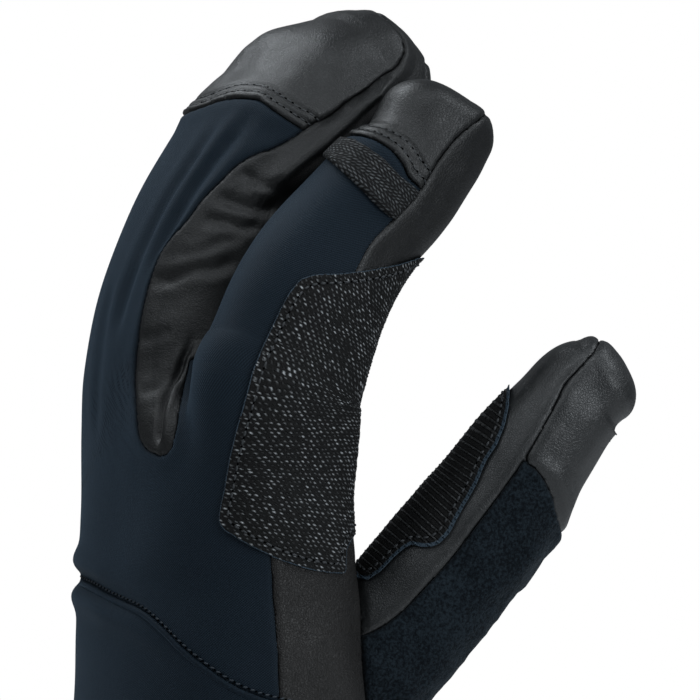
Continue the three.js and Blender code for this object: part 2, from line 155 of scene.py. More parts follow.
def smooth_line(points, steps):
    """A smooth line through the points, by Catmull-Rom."""
    rows = np.array(points, float)
    last = len(rows) - 1
    line = []
    for x in np.linspace(0, last, last * steps + 1):
        i = min(last - 1, int(x))
        t = x - i
        a, b, c, d = (rows[min(max(i + k, 0), last)] for k in (-1, 0, 1, 2))
        square, cube = 2 * a - 5 * b + 4 * c - d, 3 * b - a - 3 * c + d
        line.append(0.5 * (2 * b + (c - a) * t + square * t * t + cube * t**3))
    return np.array(line)


def bridge_rings(bm, rings, around, radius=1.0):
    """Makes a closed tube of rings. Each ring is a rule that puts a circle's corners in their places."""
    before = []
    for ring in rings:
        corners = bmesh.ops.create_circle(bm, segments=around, radius=radius)["verts"]
        for corner in corners:
            corner.co = ring(corner.co)
        edges = list(dict.fromkeys(edge for corner in corners for edge in corner.link_edges))
        if before:
            bmesh.ops.bridge_loops(bm, edges=before + edges)
        else:
            bmesh.ops.contextual_create(bm, geom=edges)
        before = edges
    bmesh.ops.contextual_create(bm, geom=before)
    bmesh.ops.recalc_face_normals(bm, faces=bm.faces[:])


def rounded_ring(centre, side, across, width, depth, square, scale):
    def place(corner):
        x, y = (math.copysign(abs(c) ** (2 / square), c) for c in corner.xy)
        return (centre + side * (width * x * scale) - across * (depth * y * scale)) * MM

    return place


def tube(number):
    """One closed tube with a rounded end, as an object. Its faces carry the tube's number."""
    name, rows, side, out, tip, around = TUBES[number]
    sections = smooth_line(rows, LOFT_STEPS)
    ahead = np.gradient(sections[:, 1:3], axis=0)
    ahead /= np.linalg.norm(ahead, axis=1)[:, None]
    places = [(row, go, 1.0, 0.0) for row, go in zip(sections, ahead)]
    power = 2 / sections[-1][5]
    for k in range(1, TIP_RINGS):
        angle = math.pi / 2 * k / TIP_RINGS
        places.append((sections[-1], ahead[-1], math.cos(angle) ** power, tip * math.sin(angle) ** power))
    rings = []
    for (at, o, u, width, depth, square), (go_out, go_up), scale, reach in places:
        centre = side * at + out * (o + go_out * reach) + UP * (u + go_up * reach)
        rings.append(rounded_ring(centre, side, out * go_up - UP * go_out, width, depth, square, scale))
    bm = bmesh.new()
    layer = bm.faces.layers.int.new("tube")
    bridge_rings(bm, rings, around)
    for face in bm.faces:
        face[layer] = number
    return mesh_object(name, bm)


form, *fingers = [tube(number) for number in (HAND_TUBE, INDEX_TUBE, THUMB_TUBE)]
for finger in fingers:
    union = form.modifiers.new("union", "BOOLEAN")
    assign(union, operation="UNION", solver="MANIFOLD", object=finger)
united = evaluated_mesh(form)
skin = bmesh.new()
skin.from_mesh(united)
for holder in (form, *fingers):
    bpy.data.objects.remove(holder)
bmesh.ops.remove_doubles(skin, verts=skin.verts, dist=WELD * MM)
geometry = skin.verts[:] + skin.edges[:] + skin.faces[:]
bmesh.ops.bisect_plane(skin, geom=geometry, plane_co=(0, 0, 0), plane_no=(0, 0, -1), clear_outer=True)

# the cloth runs smoothly from the hand into the index finger at the knuckle
at = coordinates(skin.verts) / MM
share = ramp(at[:, 2], *KNUCKLE_FROM_BELOW) * ramp(at[:, 2], *KNUCKLE_FROM_ABOVE)
share *= ramp(at[:, 0], *KNUCKLE_FROM_MITT) * ramp(at @ ACROSS, *KNUCKLE_FROM_PALM)
knuckle = [vert for vert, part in zip(skin.verts, share) if part > 0]
for _ in range(KNUCKLE_PASSES):
    bmesh.ops.smooth_vert(skin, verts=knuckle, factor=0.5, use_axis_x=True, use_axis_y=True, use_axis_z=True)
for vert, place, part in zip(skin.verts, at * MM, share):
    vert.co = Vector(place).lerp(vert.co, part)
skin.normal_update()

# The seams
# Each seam is a line in the plane of the thumb, as (across, up) in millimetres, and each panel is what lies
# on one side of it. The panels are taken off the skin one after the other.

WRIST_SEAM = [
    (-62, 77), (-40, 74), (-30, 70.6), (-21, 67.5), (-15, 63.2), (-9.4, 58), (-3.7, 53.5), (4.6, 48),
    (12.9, 44.4), (22, 42), (62, 42),
]
SIDE_SEAM = [
    (20, -20), (18.4, 43.8), (17.6, 59.8), (16.5, 73.7), (16, 86), (17, 101), (19.5, 118), (24, 134),
    (30.8, 148.3), (36.8, 158.2), (40, 162.9), (43.9, 169.9), (49.8, 176.1), (54.6, 181.3), (57.7, 185),
    (63.1, 193.5), (68.8, 200.5), (76.4, 207), (88, 220),
]
GUSSET_SEAM = [
    (-16.2, 110.6), (-19.1, 111.7), (-21.2, 113.9), (-22.4, 118), (-22.9, 124), (-23.4, 134.3),
    (-22.2, 147.1), (-20.2, 157), (-17.7, 165), (-14.6, 170.7), (-8.9, 177), (-4.3, 183.2),
    (0.8, 188.3), (6.5, 193.5), (12.2, 196.3), (16.4, 197.7), (22.1, 200.9), (26.7, 204.3),
    (32.1, 206.8), (37.8, 211.5), (42.1, 214.2), (47.2, 218.7), (51.3, 221.4), (53.8, 225.9),
    (53.4, 230.1), (50.5, 234), (44, 240),
]
GUSSET_FOOT = [
    (-16.2, 110.4), (-14, 110.9), (-12.5, 112.8), (-11.6, 116.5), (-10.5, 122.7), (-9.3, 128.8),
    (-7.3, 137.7),
]
ABOVE_GUSSET_FOOT = [(60, 138), (60, 240), (-60, 240), (-60, 110.6)]
MITT_CAP_SEAM = [
    (-30, 200), (-16, 207), (-9.6, 209.3), (-5.6, 210.3), (0.4, 212), (6.2, 212.4), (11.5, 211.5),
    (15.5, 208.7), (20.1, 205.5), (24.4, 202.7), (29.6, 198.5), (34, 194), (52, 183), (90, 165),
]
INDEX_CAP_SEAM = [
    (20, 203), (28, 201.8), (37.8, 201.1), (42, 200.4), (46.2, 198.5), (50.4, 195.3), (53.2, 191.4),
    (57.7, 185.5), (90, 160),
]
THUMB_TIP_SEAM = [
    (118, 158), (108, 142), (105.1, 138.3), (102.2, 134.9), (98.2, 130.4), (95.8, 125.3), (92.7, 119.4),
    (89.8, 114.1),
]
SUEDE_TOP = [
    (87.3, 108.8), (90.7, 105.7), (93.5, 101.7), (95.6, 97.4), (97.1, 91.9), (102, 76),
]
SUEDE_SEAM = [
    (28, 55), (36, 57.6), (42.3, 60), (47.6, 62.6), (53.2, 67.1), (59.7, 73.9), (66.5, 81.5),
    (72.9, 89.9), (79.4, 98.6), (85.6, 107.1),
]
CLEFT_X = 16
SIDE_PANEL_TOP = 121
GUSSET_X = (-8, 24)
FOOT_TOP = 137
# how far towards the palm from the hand's centre line the gusset and the back panel reach
GUSSET_EDGE, BACK_EDGE = 12, 2
# the centre line goes on past the fingertips by these steps, out and up
BEYOND_TIPS = [(12, 5), (32, 14), (70, 31), (150, 67)]
FAR = 300
SNAP = 0.14
SEAM_STEPS = 4


def polygon_zone(outline, right):
    """How far points are outside an outline in the plane of right and up, and less than nothing inside it."""
    corners = np.array(outline, float)

    def zone(points):
        place = np.stack([points @ right, points[:, 2]], axis=1)
        nearest = np.full(len(place), 1e9)
        inside = np.zeros(len(place), bool)
        for a, b in zip(corners, np.roll(corners, -1, axis=0)):
            along = b - a
            t = np.clip(((place - a) @ along) / (along @ along), 0, 1)
            nearest = np.minimum(nearest, np.linalg.norm(place - a - t[:, None] * along, axis=1))
            crosses = (a[1] > place[:, 1]) != (b[1] > place[:, 1])
            with np.errstate(divide="ignore", invalid="ignore"):
                inside ^= crosses & (place[:, 0] < along[0] * (place[:, 1] - a[1]) / along[1] + a[0])
        return np.where(inside, -nearest, nearest)

    return zone


def beside(line, to, right=ACROSS):
    """The zone over, under, left or right of a seam."""
    line = smooth_line(line, SEAM_STEPS)
    first, last = line[0], line[-1]
    corners = {
        "over": [(last[0], FAR), (first[0], FAR)],
        "under": [(last[0], -FAR), (first[0], -FAR)],
        "right": [(FAR, last[1]), (FAR, first[1])],
        "left": [(-FAR, last[1]), (-FAR, first[1])],
    }[to]
    return polygon_zone([*line, *corners], right)


def between_x(low, high):
    return lambda points: np.maximum(low - points[:, 0], points[:, 0] - high)


def below(height):
    return lambda points: points[:, 2] - height


def both(*zones):
    return lambda points: np.maximum.reduce([zone(points) for zone in zones])


def everywhere(points):
    return np.full(len(points), -1.0)


def middle_of_hand(shift):
    """The hand's centre line seen from the thumb side, moved towards the palm."""
    line = [(row[1] + shift, row[2]) for row in HAND]
    beyond = [(line[-1][0] + out, line[-1][1] + up) for out, up in BEYOND_TIPS]
    return [(shift, -FAR), *line, *beyond]


def cut_along(bm, zone, open_faces):
    """Cuts the open faces along the edge of a zone, so that no face crosses it.

    What is on the edge is kept in the order in which it was found, so that each run cuts alike.
    """
    bm.verts.index_update()
    value = zone(coordinates(bm.verts) / MM)
    value[np.abs(value) < SNAP] = 0
    value = {vert: v for vert, v in zip(bm.verts, value)}
    on_edge = dict.fromkeys(vert for vert, v in value.items() if v == 0)
    for edge in bm.edges[:]:
        a, b = edge.verts
        if value[a] * value[b] < 0 and any(face in open_faces for face in edge.link_faces):
            vert = bmesh.utils.edge_split(edge, a, value[a] / (value[a] - value[b]))[1]
            value[vert] = 0
            on_edge[vert] = None
    around = dict.fromkeys(face for vert in on_edge for face in vert.link_faces)
    queue = [face for face in around if face in open_faces]
    while queue:
        face = queue.pop()
        ends = [vert for vert in face.verts if vert in on_edge]
        for a, b in ((a, b) for i, a in enumerate(ends) for b in ends[i + 1:]):
            if not any(edge.other_vert(a) is b for edge in a.link_edges):
                new, _ = bmesh.utils.face_split(face, a, b)
                open_faces.add(new)
                queue += [face, new]
                break
    return value


def take(bm, number, zone, open_faces):
    """Gives the open faces in a zone a panel's number."""
    layer = bm.faces.layers.int["panel"]
    value = cut_along(bm, zone, open_faces)
    for face in list(open_faces):
        if sum(value[vert] for vert in face.verts) < 0:
            face[layer] = number
            open_faces.discard(face)


HAND_AND_INDEX = {HAND_TUBE, INDEX_TUBE}
side_strip = both(beside(SIDE_SEAM, "right"), between_x(CLEFT_X, FAR), below(SIDE_PANEL_TOP))
gusset_edge = beside(middle_of_hand(GUSSET_EDGE), "left", Y_AXIS)
gusset_foot = polygon_zone([*smooth_line(GUSSET_FOOT, SEAM_STEPS), *ABOVE_GUSSET_FOOT], ACROSS)
gusset_on_mitt = both(
    beside(GUSSET_SEAM, "right"), gusset_foot, between_x(GUSSET_X[0], CLEFT_X + 3), gusset_edge
)
gusset_in_cleft = both(gusset_foot, between_x(CLEFT_X + 2, GUSSET_X[1]), below(FOOT_TOP))
gusset_on_index = both(gusset_foot, between_x(0, GUSSET_X[1]), gusset_edge)
# each panel's zone, with the tubes that it is cut from, in the order of cutting
ZONES = [
    ("thumb_tip", beside([*THUMB_TIP_SEAM, *SUEDE_TOP], "right"), {THUMB_TUBE}),
    ("thumb_back", beside([*SUEDE_SEAM, *SUEDE_TOP], "under"), {THUMB_TUBE}),
    ("thumb_wall", everywhere, {THUMB_TUBE}),
    ("side_panel", side_strip, HAND_AND_INDEX),
    ("index_palm", beside(SIDE_SEAM, "right"), {INDEX_TUBE}),
    ("index_cap", beside(INDEX_CAP_SEAM, "over"), {INDEX_TUBE}),
    ("finger_gusset", gusset_on_mitt, {HAND_TUBE}),
    ("finger_gusset", gusset_in_cleft, {HAND_TUBE}),
    ("finger_gusset", gusset_on_index, {INDEX_TUBE}),
    ("mitt_cap", beside(MITT_CAP_SEAM, "over"), {HAND_TUBE}),
    ("cuff_panel", beside(WRIST_SEAM, "under"), {HAND_TUBE}),
    ("palm_panel", beside(middle_of_hand(BACK_EDGE), "right", Y_AXIS), {HAND_TUBE}),
    ("back_panel", everywhere, HAND_AND_INDEX),
]
PANELS = sorted({name for name, _, _ in ZONES})


def number_of(name):
    return PANELS.index(name) + 1


panel_layer = skin.faces.layers.int.new("panel")
tube_layer = skin.faces.layers.int["tube"]
for name, zone, tubes in ZONES:
    open_faces = {face for face in skin.faces if face[panel_layer] == 0 and face[tube_layer] in tubes}
    take(skin, number_of(name), zone, open_faces)
skin.normal_update()

# The padding
# Between its seams each panel is filled out by the insulation behind it. A coarse copy of the skin, a little
# smaller and held at the seams, is blown up as cloth, and what it gains is kept as lift on the skin.

PADDING_VOXEL = 4.5
PADDING_INSET = 1.0
PADDING_FRAMES = 20
PADDING_CLOTH = {
    "use_pressure": True, "uniform_pressure_force": 4.0, "vertex_group_mass": "held",
    "tension_stiffness": 12, "compression_stiffness": 12, "bending_stiffness": 0.4,
}
SEAM_HOLD, HEM_HOLD = 4.2, 6
LIFT_LIMIT = (-0.2, 1.7)
SKIN_LIFT = 0.8
LIFT_PASSES = 8
LEAST_DISTANCE = 0.2


def nearest_distances(places, points):
    """How far each place lies from the nearest of the points."""
    tree = KDTree(len(points))
    for i, point in enumerate(points):
        tree.insert(point, i)
    tree.balance()
    return np.array([tree.find(place)[2] for place in places])


def along_edges(edges, step=0.35 * MM):
    """Points at even steps along edges."""
    points = []
    for edge in edges:
        a, b = (vert.co for vert in edge.verts)
        count = max(1, int((b - a).length / step))
        points += [a.lerp(b, k / count) for k in range(count + 1)]
    return points


def blown_up():
    """The coarse copy's faces, its starting points, and how far each point was blown out."""
    holder = placed("coarse", united)
    assign(holder.modifiers.new("voxels", "REMESH"), mode="VOXEL", voxel_size=PADDING_VOXEL * MM)
    coarse = evaluated_mesh(holder)
    bpy.data.objects.remove(holder)
    start = np.array([vert.co - vert.normal * PADDING_INSET * MM for vert in coarse.vertices])
    coarse.vertices.foreach_set("co", start.ravel())
    seams = [edge for edge in skin.edges if len({face[panel_layer] for face in edge.link_faces}) > 1]
    held = nearest_distances(start, along_edges(seams, 1 * MM)) < (SEAM_HOLD + PADDING_INSET) * MM
    held |= start[:, 2] < HEM_HOLD * MM
    pad = placed("padding", coarse)
    pad.vertex_groups.new(name="held").add([int(i) for i in np.flatnonzero(held)], 1.0, "REPLACE")
    cloth = pad.modifiers.new("cloth", "CLOTH")
    assign(cloth.settings, **PADDING_CLOTH)
    cloth.settings.effector_weights.gravity = 0
    cloth.point_cache.frame_end = PADDING_FRAMES
    scene = bpy.context.scene
    for frame_number in range(1, PADDING_FRAMES + 1):
        scene.frame_set(frame_number)
    end = coordinates(pad.evaluated_get(bpy.context.evaluated_depsgraph_get()).to_mesh().vertices)
    normals = np.array([vert.normal for vert in coarse.vertices])
    faces = [tuple(face.vertices) for face in coarse.polygons]
    lift = ((end - start) * normals).sum(axis=1) / MM
    scene.frame_set(1)
    bpy.data.objects.remove(pad)
    return start, faces, np.clip(lift, *LIFT_LIMIT) - SKIN_LIFT


lift_layer = skin.verts.layers.float.new("lift")
start, faces, lift = blown_up()
tree = BVHTree.FromPolygons([Vector(point) for point in start], faces)
for vert in skin.verts:
    place, _, face, _ = tree.find_nearest(vert.co)
    corners = list(faces[face])
    weight = 1 / (np.linalg.norm(start[corners] - np.array(place), axis=1) + LEAST_DISTANCE * MM) ** 2
    vert[lift_layer] = float((lift[corners] * weight).sum() / weight.sum())
for _ in range(LIFT_PASSES):
    around = [[edge.other_vert(vert)[lift_layer] for edge in vert.link_edges] for vert in skin.verts]
    for vert, values in zip(skin.verts, around):
        vert[lift_layer] = sum(values) / len(values)

# The back of the hand and the cuff
# They are navy softshell with a faint twill, over insulation and a fleece lining. Their edges are turned in
# and pulled down into the seams, and the cuff ends in a rounded, turned hem, whose stitching is not drawn.

WALL = 3.4
HEM_BEVEL = 1.3
# each tube's cloth is unrolled at this radius
CLOTH_RADIUS = {HAND_TUBE: 42, INDEX_TUBE: 20, THUMB_TUBE: 19}
# the cloth's long soft folds on the back, as (across, up), with how deep and how wide each is pressed
BACK_FOLDS = [
    ([(-1, 205), (-11, 190), (-19, 176), (-26, 160), (-30, 145)], 1.3, 2.4),
    ([(9, 207), (-3, 193), (-12, 178), (-19, 163)], 1.4, 2.6),
    ([(-31, 160), (-33.5, 148), (-35, 132), (-35.5, 116)], 0.6, 2.6),
]
# the padding bulges on either side of the wrist seam, most at the back of the hand
WRIST_PINCH, WRIST_BULGE = 1.4, 2.1
OUTER, RIM, INNER = 0, 1, 2
VIEW_DISTANCE = 400

skin.normal_update()
out_layer = skin.verts.layers.float_vector.new("out")
for vert in skin.verts:
    vert[out_layer] = vert.normal
skin_tree = BVHTree.FromBMesh(skin)


def cloth_place(points, tube_number, steps=10, batch=4000):
    """Where points lie on a tube's cloth: the way round it and the length along it, in millimetres."""
    _, rows, side, out, _, _ = TUBES[tube_number]
    line = smooth_line([row[:3] for row in rows], steps)
    centres = line[:, :1] * side + line[:, 1:2] * out + line[:, 2:3] * UP
    ahead = np.gradient(centres, axis=0)
    ahead -= (ahead @ side)[:, None] * side
    ahead /= np.linalg.norm(ahead, axis=1)[:, None]
    nearest = np.empty(len(points), int)
    for start in range(0, len(points), batch):
        part = points[start:start + batch]
        nearest[start:start + batch] = np.linalg.norm(part[:, None] - centres[None], axis=2).argmin(axis=1)
    off = points - centres[nearest]
    along = line_lengths(centres)[nearest] + (off * ahead[nearest]).sum(axis=1)
    across = np.cross(side, ahead[nearest])
    turn = np.arctan2((off * across).sum(axis=1), off @ side)
    return np.stack([turn * CLOTH_RADIUS[tube_number], along], axis=1)


def line_lengths(points):
    """How far along a line each of its points lies."""
    return np.concatenate([[0], np.cumsum(np.linalg.norm(np.diff(points, axis=0), axis=1))])


def read(items, name):
    """One whole number of each item."""
    values = np.empty(len(items), int)
    items.foreach_get(name, values)
    return values


def lay_cloth(mesh, tubes):
    """Gives a mesh a UV map in metres along its cloth. Each tube's faces lie along the tube given for it."""
    points = coordinates(mesh.vertices) / MM
    corners = read(mesh.loops, "vertex_index")
    totals = read(mesh.polygons, "loop_total")
    face_of = np.repeat(np.arange(len(totals)), totals)
    face_tube = read(mesh.attributes["tube"].data, "value")
    laid = np.zeros((len(corners), 2))
    for number, lies_on in tubes.items():
        place = cloth_place(points, lies_on)[corners]
        whole_turn = 2 * math.pi * CLOTH_RADIUS[lies_on]
        highest = np.full(len(totals), -np.inf)
        np.maximum.at(highest, face_of, place[:, 0])
        place[:, 0] += np.where(highest[face_of] - place[:, 0] > whole_turn / 2, whole_turn, 0)
        chosen = (face_tube == number)[face_of]
        laid[chosen] = place[chosen]
    mesh.uv_layers.new(name="cloth").data.foreach_set("uv", (laid * MM).ravel())


def on_skin(line, steps):
    """Points and normals where a line in the thumb's plane meets the skin on the camera's side."""
    points, normals = [], []
    for across, up in smooth_line(line, steps):
        start = Vector((ACROSS * across + UP * up + TOWARDS * VIEW_DISTANCE) * MM)
        place, normal, _, _ = skin_tree.ray_cast(start, Vector(-TOWARDS))
        if place is not None:
            points.append(np.array(place) / MM)
            normals.append(np.array(normal))
    return np.array(points), np.array(normals)


def fold(line, depth, width, ridge=0.3):
    """A fold pressed in along a line, with a low ridge on either side of it. It fades towards its ends."""
    places, _ = on_skin(line, 8)

    def shape(points):
        distance = np.full(len(points), np.inf)
        fade = np.zeros(len(points))
        for i, place in enumerate(places):
            d = np.linalg.norm(points - place, axis=1)
            closer = d < distance
            distance[closer] = d[closer]
            t = i / max(1, len(places) - 1)
            fade[closer] = min(1.0, 5 * t + 0.15, 5 * (1 - t) + 0.15)
        return -depth * fade * (bell(distance, width) - ridge * bell(distance - 2.1 * width, width))

    return shape


def waves(size, depth, seed):
    """Slow waves in the cloth."""

    def shape(points):
        shift = Vector((seed, 0, 0))
        return np.array([depth * noise.noise(Vector(point / size) + shift) for point in points])

    return shape


def wrist_pinch(points):
    distance = nearest_distances(points * MM, border("back_panel", ["cuff_panel"])) / MM
    share = np.clip((-8 - points @ ACROSS) / 25, 0.15, 1)
    return share * (WRIST_BULGE * bell(distance - 5.5, 3.5) - WRIST_PINCH * bell(distance, 2))


def layered(bm, height, base, edge_distance, hem=False):
    """Gives the open sheet in bm its outer face at a height over the skin and its inner face at the base."""
    at = coordinates(bm.verts)
    normals = np.array([vert[bm.verts.layers.float_vector["out"]] for vert in bm.verts])
    normals /= np.linalg.norm(normals, axis=1)[:, None]
    hem_top = 0.02 * MM
    if hem:
        normals[at[:, 2] < hem_top, 2] = 0
    outer = at + normals * (height * MM)[:, None]
    inner = at + normals * (base * MM)
    place_layer = bm.verts.layers.int.new("place")
    seam_layer = bm.verts.layers.float.new("seam")
    for i, vert in enumerate(bm.verts):
        vert[place_layer] = i
        vert[seam_layer] = edge_distance[i]
    side_layer = bm.faces.layers.int.new("rim")
    inner_faces = bm.faces[:]
    grown = set(bmesh.ops.extrude_face_region(bm, geom=inner_faces, use_keep_orig=True)["geom"])
    bmesh.ops.reverse_faces(bm, faces=inner_faces)
    inner_faces = set(inner_faces)
    for face in bm.faces:
        face[side_layer] = INNER if face in inner_faces else OUTER if face in grown else RIM
    for vert in bm.verts:
        vert.co = (outer if vert in grown else inner)[vert[place_layer]]
    bmesh.ops.recalc_face_normals(bm, faces=bm.faces[:])
    if hem:
        rim = [edge for edge in bm.edges if all(vert.co.z < hem_top for vert in edge.verts)]
        rim = [edge for edge in rim if len({face[side_layer] for face in edge.link_faces}) > 1]
        bmesh.ops.bevel(
            bm, geom=rim, offset=HEM_BEVEL * MM, segments=3, profile=0.5, affect="EDGES", material=-1,
            clamp_overlap=True,
        )


def finish_piece(name, bm, materials, node=None, tubes=None, second=None):
    """The finished object. The faces on one side of it, its rim or its inner face, get its second material."""
    piece = mesh_object(name, bm)
    if tubes:
        lay_cloth(piece.data, tubes)
    for material in materials:
        piece.data.materials.append(material)
    if second:
        sides = read(piece.data.attributes["rim"].data, "value")
        piece.data.polygons.foreach_set("material_index", (sides == second).astype(int))
    piece.data.shade_smooth()
    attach(piece, "root")
    if node:
        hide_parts(node)
    return piece


def border(name, neighbours=None):
    """Points along a panel's seams, or along those with some neighbours."""
    number = number_of(name)
    others = {number_of(other) for other in neighbours or PANELS} - {number}
    edges = []
    for edge in skin.edges:
        ends = {face[panel_layer] for face in edge.link_faces}
        if number in ends and ends & others:
            edges.append(edge)
    return along_edges(edges)


def keep_faces(bm, layer_name, numbers):
    """Deletes all faces but those that carry one of the numbers."""
    layer = bm.faces.layers.int[layer_name]
    bmesh.ops.delete(bm, geom=[face for face in bm.faces if face[layer] not in numbers], context="FACES")


def panel_sheet(name):
    """A panel as an open sheet."""
    bm = skin.copy()
    keep_faces(bm, "panel", {number_of(name)})
    return bm


def distances(bm, points):
    """How far a bmesh's vertices lie from the nearest of the points, in millimetres."""
    return nearest_distances(coordinates(bm.verts), points) / MM


def refine(bm, points, reach):
    """Splits the faces within reach of the points."""
    near = {vert for vert, distance in zip(bm.verts, distances(bm, points)) if distance < reach}
    edges = [edge for edge in bm.edges if edge.verts[0] in near and edge.verts[1] in near]
    bmesh.ops.subdivide_edges(bm, edges=edges, cuts=1, use_grid_fill=True)


def lifts(bm):
    layer = bm.verts.layers.float["lift"]
    return np.array([vert[layer] for vert in bm.verts])


def panel(name, material, proud=0.0, roll=1.5, depth=0.9, fine=2.6, folds=(), rows=None, hem=False):
    """One panel off the skin, with its wall, as a piece that replaces its node.

    Its edge is finer and rolled down into the seam. Rows are the seams that topstitch follows, and how far
    from them it runs: the edge stands proud there, and each row sinks in.
    """
    bm = panel_sheet(name)
    seam_points = border(name)
    refine(bm, seam_points, fine)
    at = coordinates(bm.verts) / MM
    distance = distances(bm, seam_points)
    t = np.clip(1 - distance / roll, 0, 1)
    height = -depth * (1 - np.sqrt(np.clip(1 - t * t, 0, 1)))
    height += lifts(bm) * ramp(distance, 0, 6)
    for shape in folds:
        height += shape(at) * np.clip(distance / 2, 0.15, 1)
    if rows:
        neighbours, offsets = rows
        row_distance = distances(bm, border(name, neighbours))
        height += proud * bell(row_distance, 9)
        for offset in offsets:
            height -= 0.5 * bell(row_distance - offset, 0.7)
    layered(bm, height, -WALL, distance, hem)
    lies = {number: number for number in ([THUMB_TUBE] if name.startswith("thumb") else HAND_AND_INDEX)}
    piece = finish_piece(name + "_sewn", bm, [material, fleece], name, lies, INNER)
    return piece


def feed(tree, sockets, values):
    """Gives sockets their values. A value that is a node's output is linked, and a colour gets full alpha."""
    for key, value in values.items():
        if isinstance(value, bpy.types.NodeSocket):
            tree.links.new(value, sockets[key])
        else:
            sockets[key].default_value = (*value, 1) if sockets[key].type == "RGBA" else value


def add(tree, kind, inputs=None, **settings):
    """A shader node."""
    made = assign(tree.nodes.new(kind), **settings)
    feed(tree, made.inputs, inputs or {})
    return made


def maths(tree, operation, *values):
    return add(tree, "ShaderNodeMath", dict(enumerate(values)), operation=operation).outputs[0]


def summed(tree, *terms):
    """The sum of values, each times its weight."""
    total = None
    for value, weight in terms:
        if weight != 1:
            value = maths(tree, "MULTIPLY", value, weight)
        total = value if total is None else maths(tree, "ADD", total, value)
    return total


def stretched(tree, value, low, high, to_low=0.0, to_high=1.0, interpolation="SMOOTHSTEP"):
    """A value stretched between two limits."""
    limits = {0: value, 1: low, 2: high, 3: to_low, 4: to_high}
    return add(tree, "ShaderNodeMapRange", limits, interpolation_type=interpolation).outputs[0]


def noise_node(tree, place, scale, detail=3.0, roughness=0.5, output=0):
    inputs = {"Vector": place, "Scale": scale, "Detail": detail, "Roughness": roughness}
    return add(tree, "ShaderNodeTexNoise", inputs).outputs[output]


def blended(tree, factor, dark, light):
    """A colour between two."""
    return add(tree, "ShaderNodeMix", {0: factor, 6: dark, 7: light}, data_type="RGBA").outputs[2]


def scaled(tree, vector, factor):
    return add(tree, "ShaderNodeVectorMath", {0: vector, "Scale": factor}, operation="SCALE").outputs[0]


def object_place(tree):
    return add(tree, "ShaderNodeTexCoord").outputs["Object"]


def cloth_map(tree):
    return add(tree, "ShaderNodeUVMap", uv_map="cloth").outputs[0]


def cloth_parts(tree, factor=1000.0):
    """The way round the cloth and the way along it, in millimetres or by another factor."""
    return add(tree, "ShaderNodeSeparateXYZ", {0: scaled(tree, cloth_map(tree), factor)}).outputs


def new_group(name, inputs, outputs):
    """An empty node group, with the outputs of its input node and the inputs of its output node."""
    tree = bpy.data.node_groups.new(name, "ShaderNodeTree")
    for socket, default in inputs.items():
        given = tree.interface.new_socket(socket, in_out="INPUT", socket_type="NodeSocketFloat")
        given.default_value = default
    for socket in outputs:
        tree.interface.new_socket(socket, in_out="OUTPUT", socket_type="NodeSocketFloat")
    return tree, tree.nodes.new("NodeGroupInput").outputs, tree.nodes.new("NodeGroupOutput").inputs


def grouped(tree, group, **inputs):
    made = assign(tree.nodes.new("ShaderNodeGroup"), node_tree=group)
    feed(tree, made.inputs, inputs)
    return made.outputs


def with_painted_seam_shade(tree, colour, reach, darkest=0.3):
    """A colour darkened near a seam by painted shade, which stands in for the shade in the seam's groove."""
    return scaled(tree, colour, grouped(tree, painted_seam_shade_group, Reach=reach, Darkest=darkest)["Light"])


def finish(name):
    """A new material, with its node tree and its shader's inputs."""
    material = bpy.data.materials.new(name)
    material.use_nodes = True
    return material, material.node_tree, material.node_tree.nodes["Principled BSDF"].inputs


def raise_bumps(tree, shader, height, strength, distance):
    made = add(tree, "ShaderNodeBump", {"Height": height, "Strength": strength, "Distance": distance * MM})
    tree.links.new(made.outputs[0], shader["Normal"])


def seam_attribute(tree):
    """The distance from the seam in millimetres, as the meshes carry it."""
    return add(tree, "ShaderNodeAttribute", attribute_name="seam").outputs["Fac"]


# painted shade along the seams: the colour falls to its darkest share at a seam and comes back over the reach,
# for the shade in the seam's groove and beside its threads
painted_seam_shade_group, given, result = new_group("painted_seam_shade", {"Reach": 0.7, "Darkest": 0.25}, ["Light"])
away = seam_attribute(painted_seam_shade_group)
light = stretched(painted_seam_shade_group, away, 0.1, given["Reach"], given["Darkest"], 1.0, "LINEAR")
feed(painted_seam_shade_group, result, {"Light": light})

twill_group, given, result = new_group("twill", {"Pitch": 0.5}, ["Height", "Thread"])
parts = cloth_parts(twill_group, maths(twill_group, "DIVIDE", 1000 * 2 * math.pi, given["Pitch"]))
rib = maths(twill_group, "SINE", maths(twill_group, "ADD", parts[0], parts[1]))
cross = maths(twill_group, "SINE", maths(twill_group, "SUBTRACT", parts[0], parts[1]))
feed(twill_group, result, {"Height": summed(twill_group, (rib, 0.3), (cross, 0.2)), "Thread": rib})


def cloth_finish(name, dark, light, pitch, depth, sheen):
    material, tree, shader = finish(name)
    twill = grouped(tree, twill_group, Pitch=pitch)
    place = object_place(tree)
    cloud = noise_node(tree, place, 30.0)
    fuzz = noise_node(tree, place, 1300.0, 2.0)
    tone = summed(tree, (cloud, 0.5), (fuzz, 0.5), (twill["Thread"], 0.6))
    feed(tree, shader, {
        # the base colour carries painted shade along the seams
        "Base Color": with_painted_seam_shade(tree, blended(tree, stretched(tree, tone, 0.32, 0.68), dark, light), 0.8),
        "Roughness": 0.7,
        "Specular IOR Level": 0.12,
        "Sheen Weight": sheen,
        "Sheen Roughness": 0.45,
        "Sheen Tint": (0.42, 0.62, 0.85),
    })
    raise_bumps(tree, shader, summed(tree, (twill["Height"], 1), (fuzz, 0.6)), depth, 0.12)
    return material


softshell = cloth_finish(
    "softshell_navy", dark=(0.0027, 0.0064, 0.0108), light=(0.0078, 0.0158, 0.0250),
    pitch=0.72, depth=1.0, sheen=0.16,
)
fleece = cloth_finish(
    "fleece_lining", dark=(0.012, 0.013, 0.014), light=(0.02, 0.021, 0.023),
    pitch=1.6, depth=0.8, sheen=0.2,
)

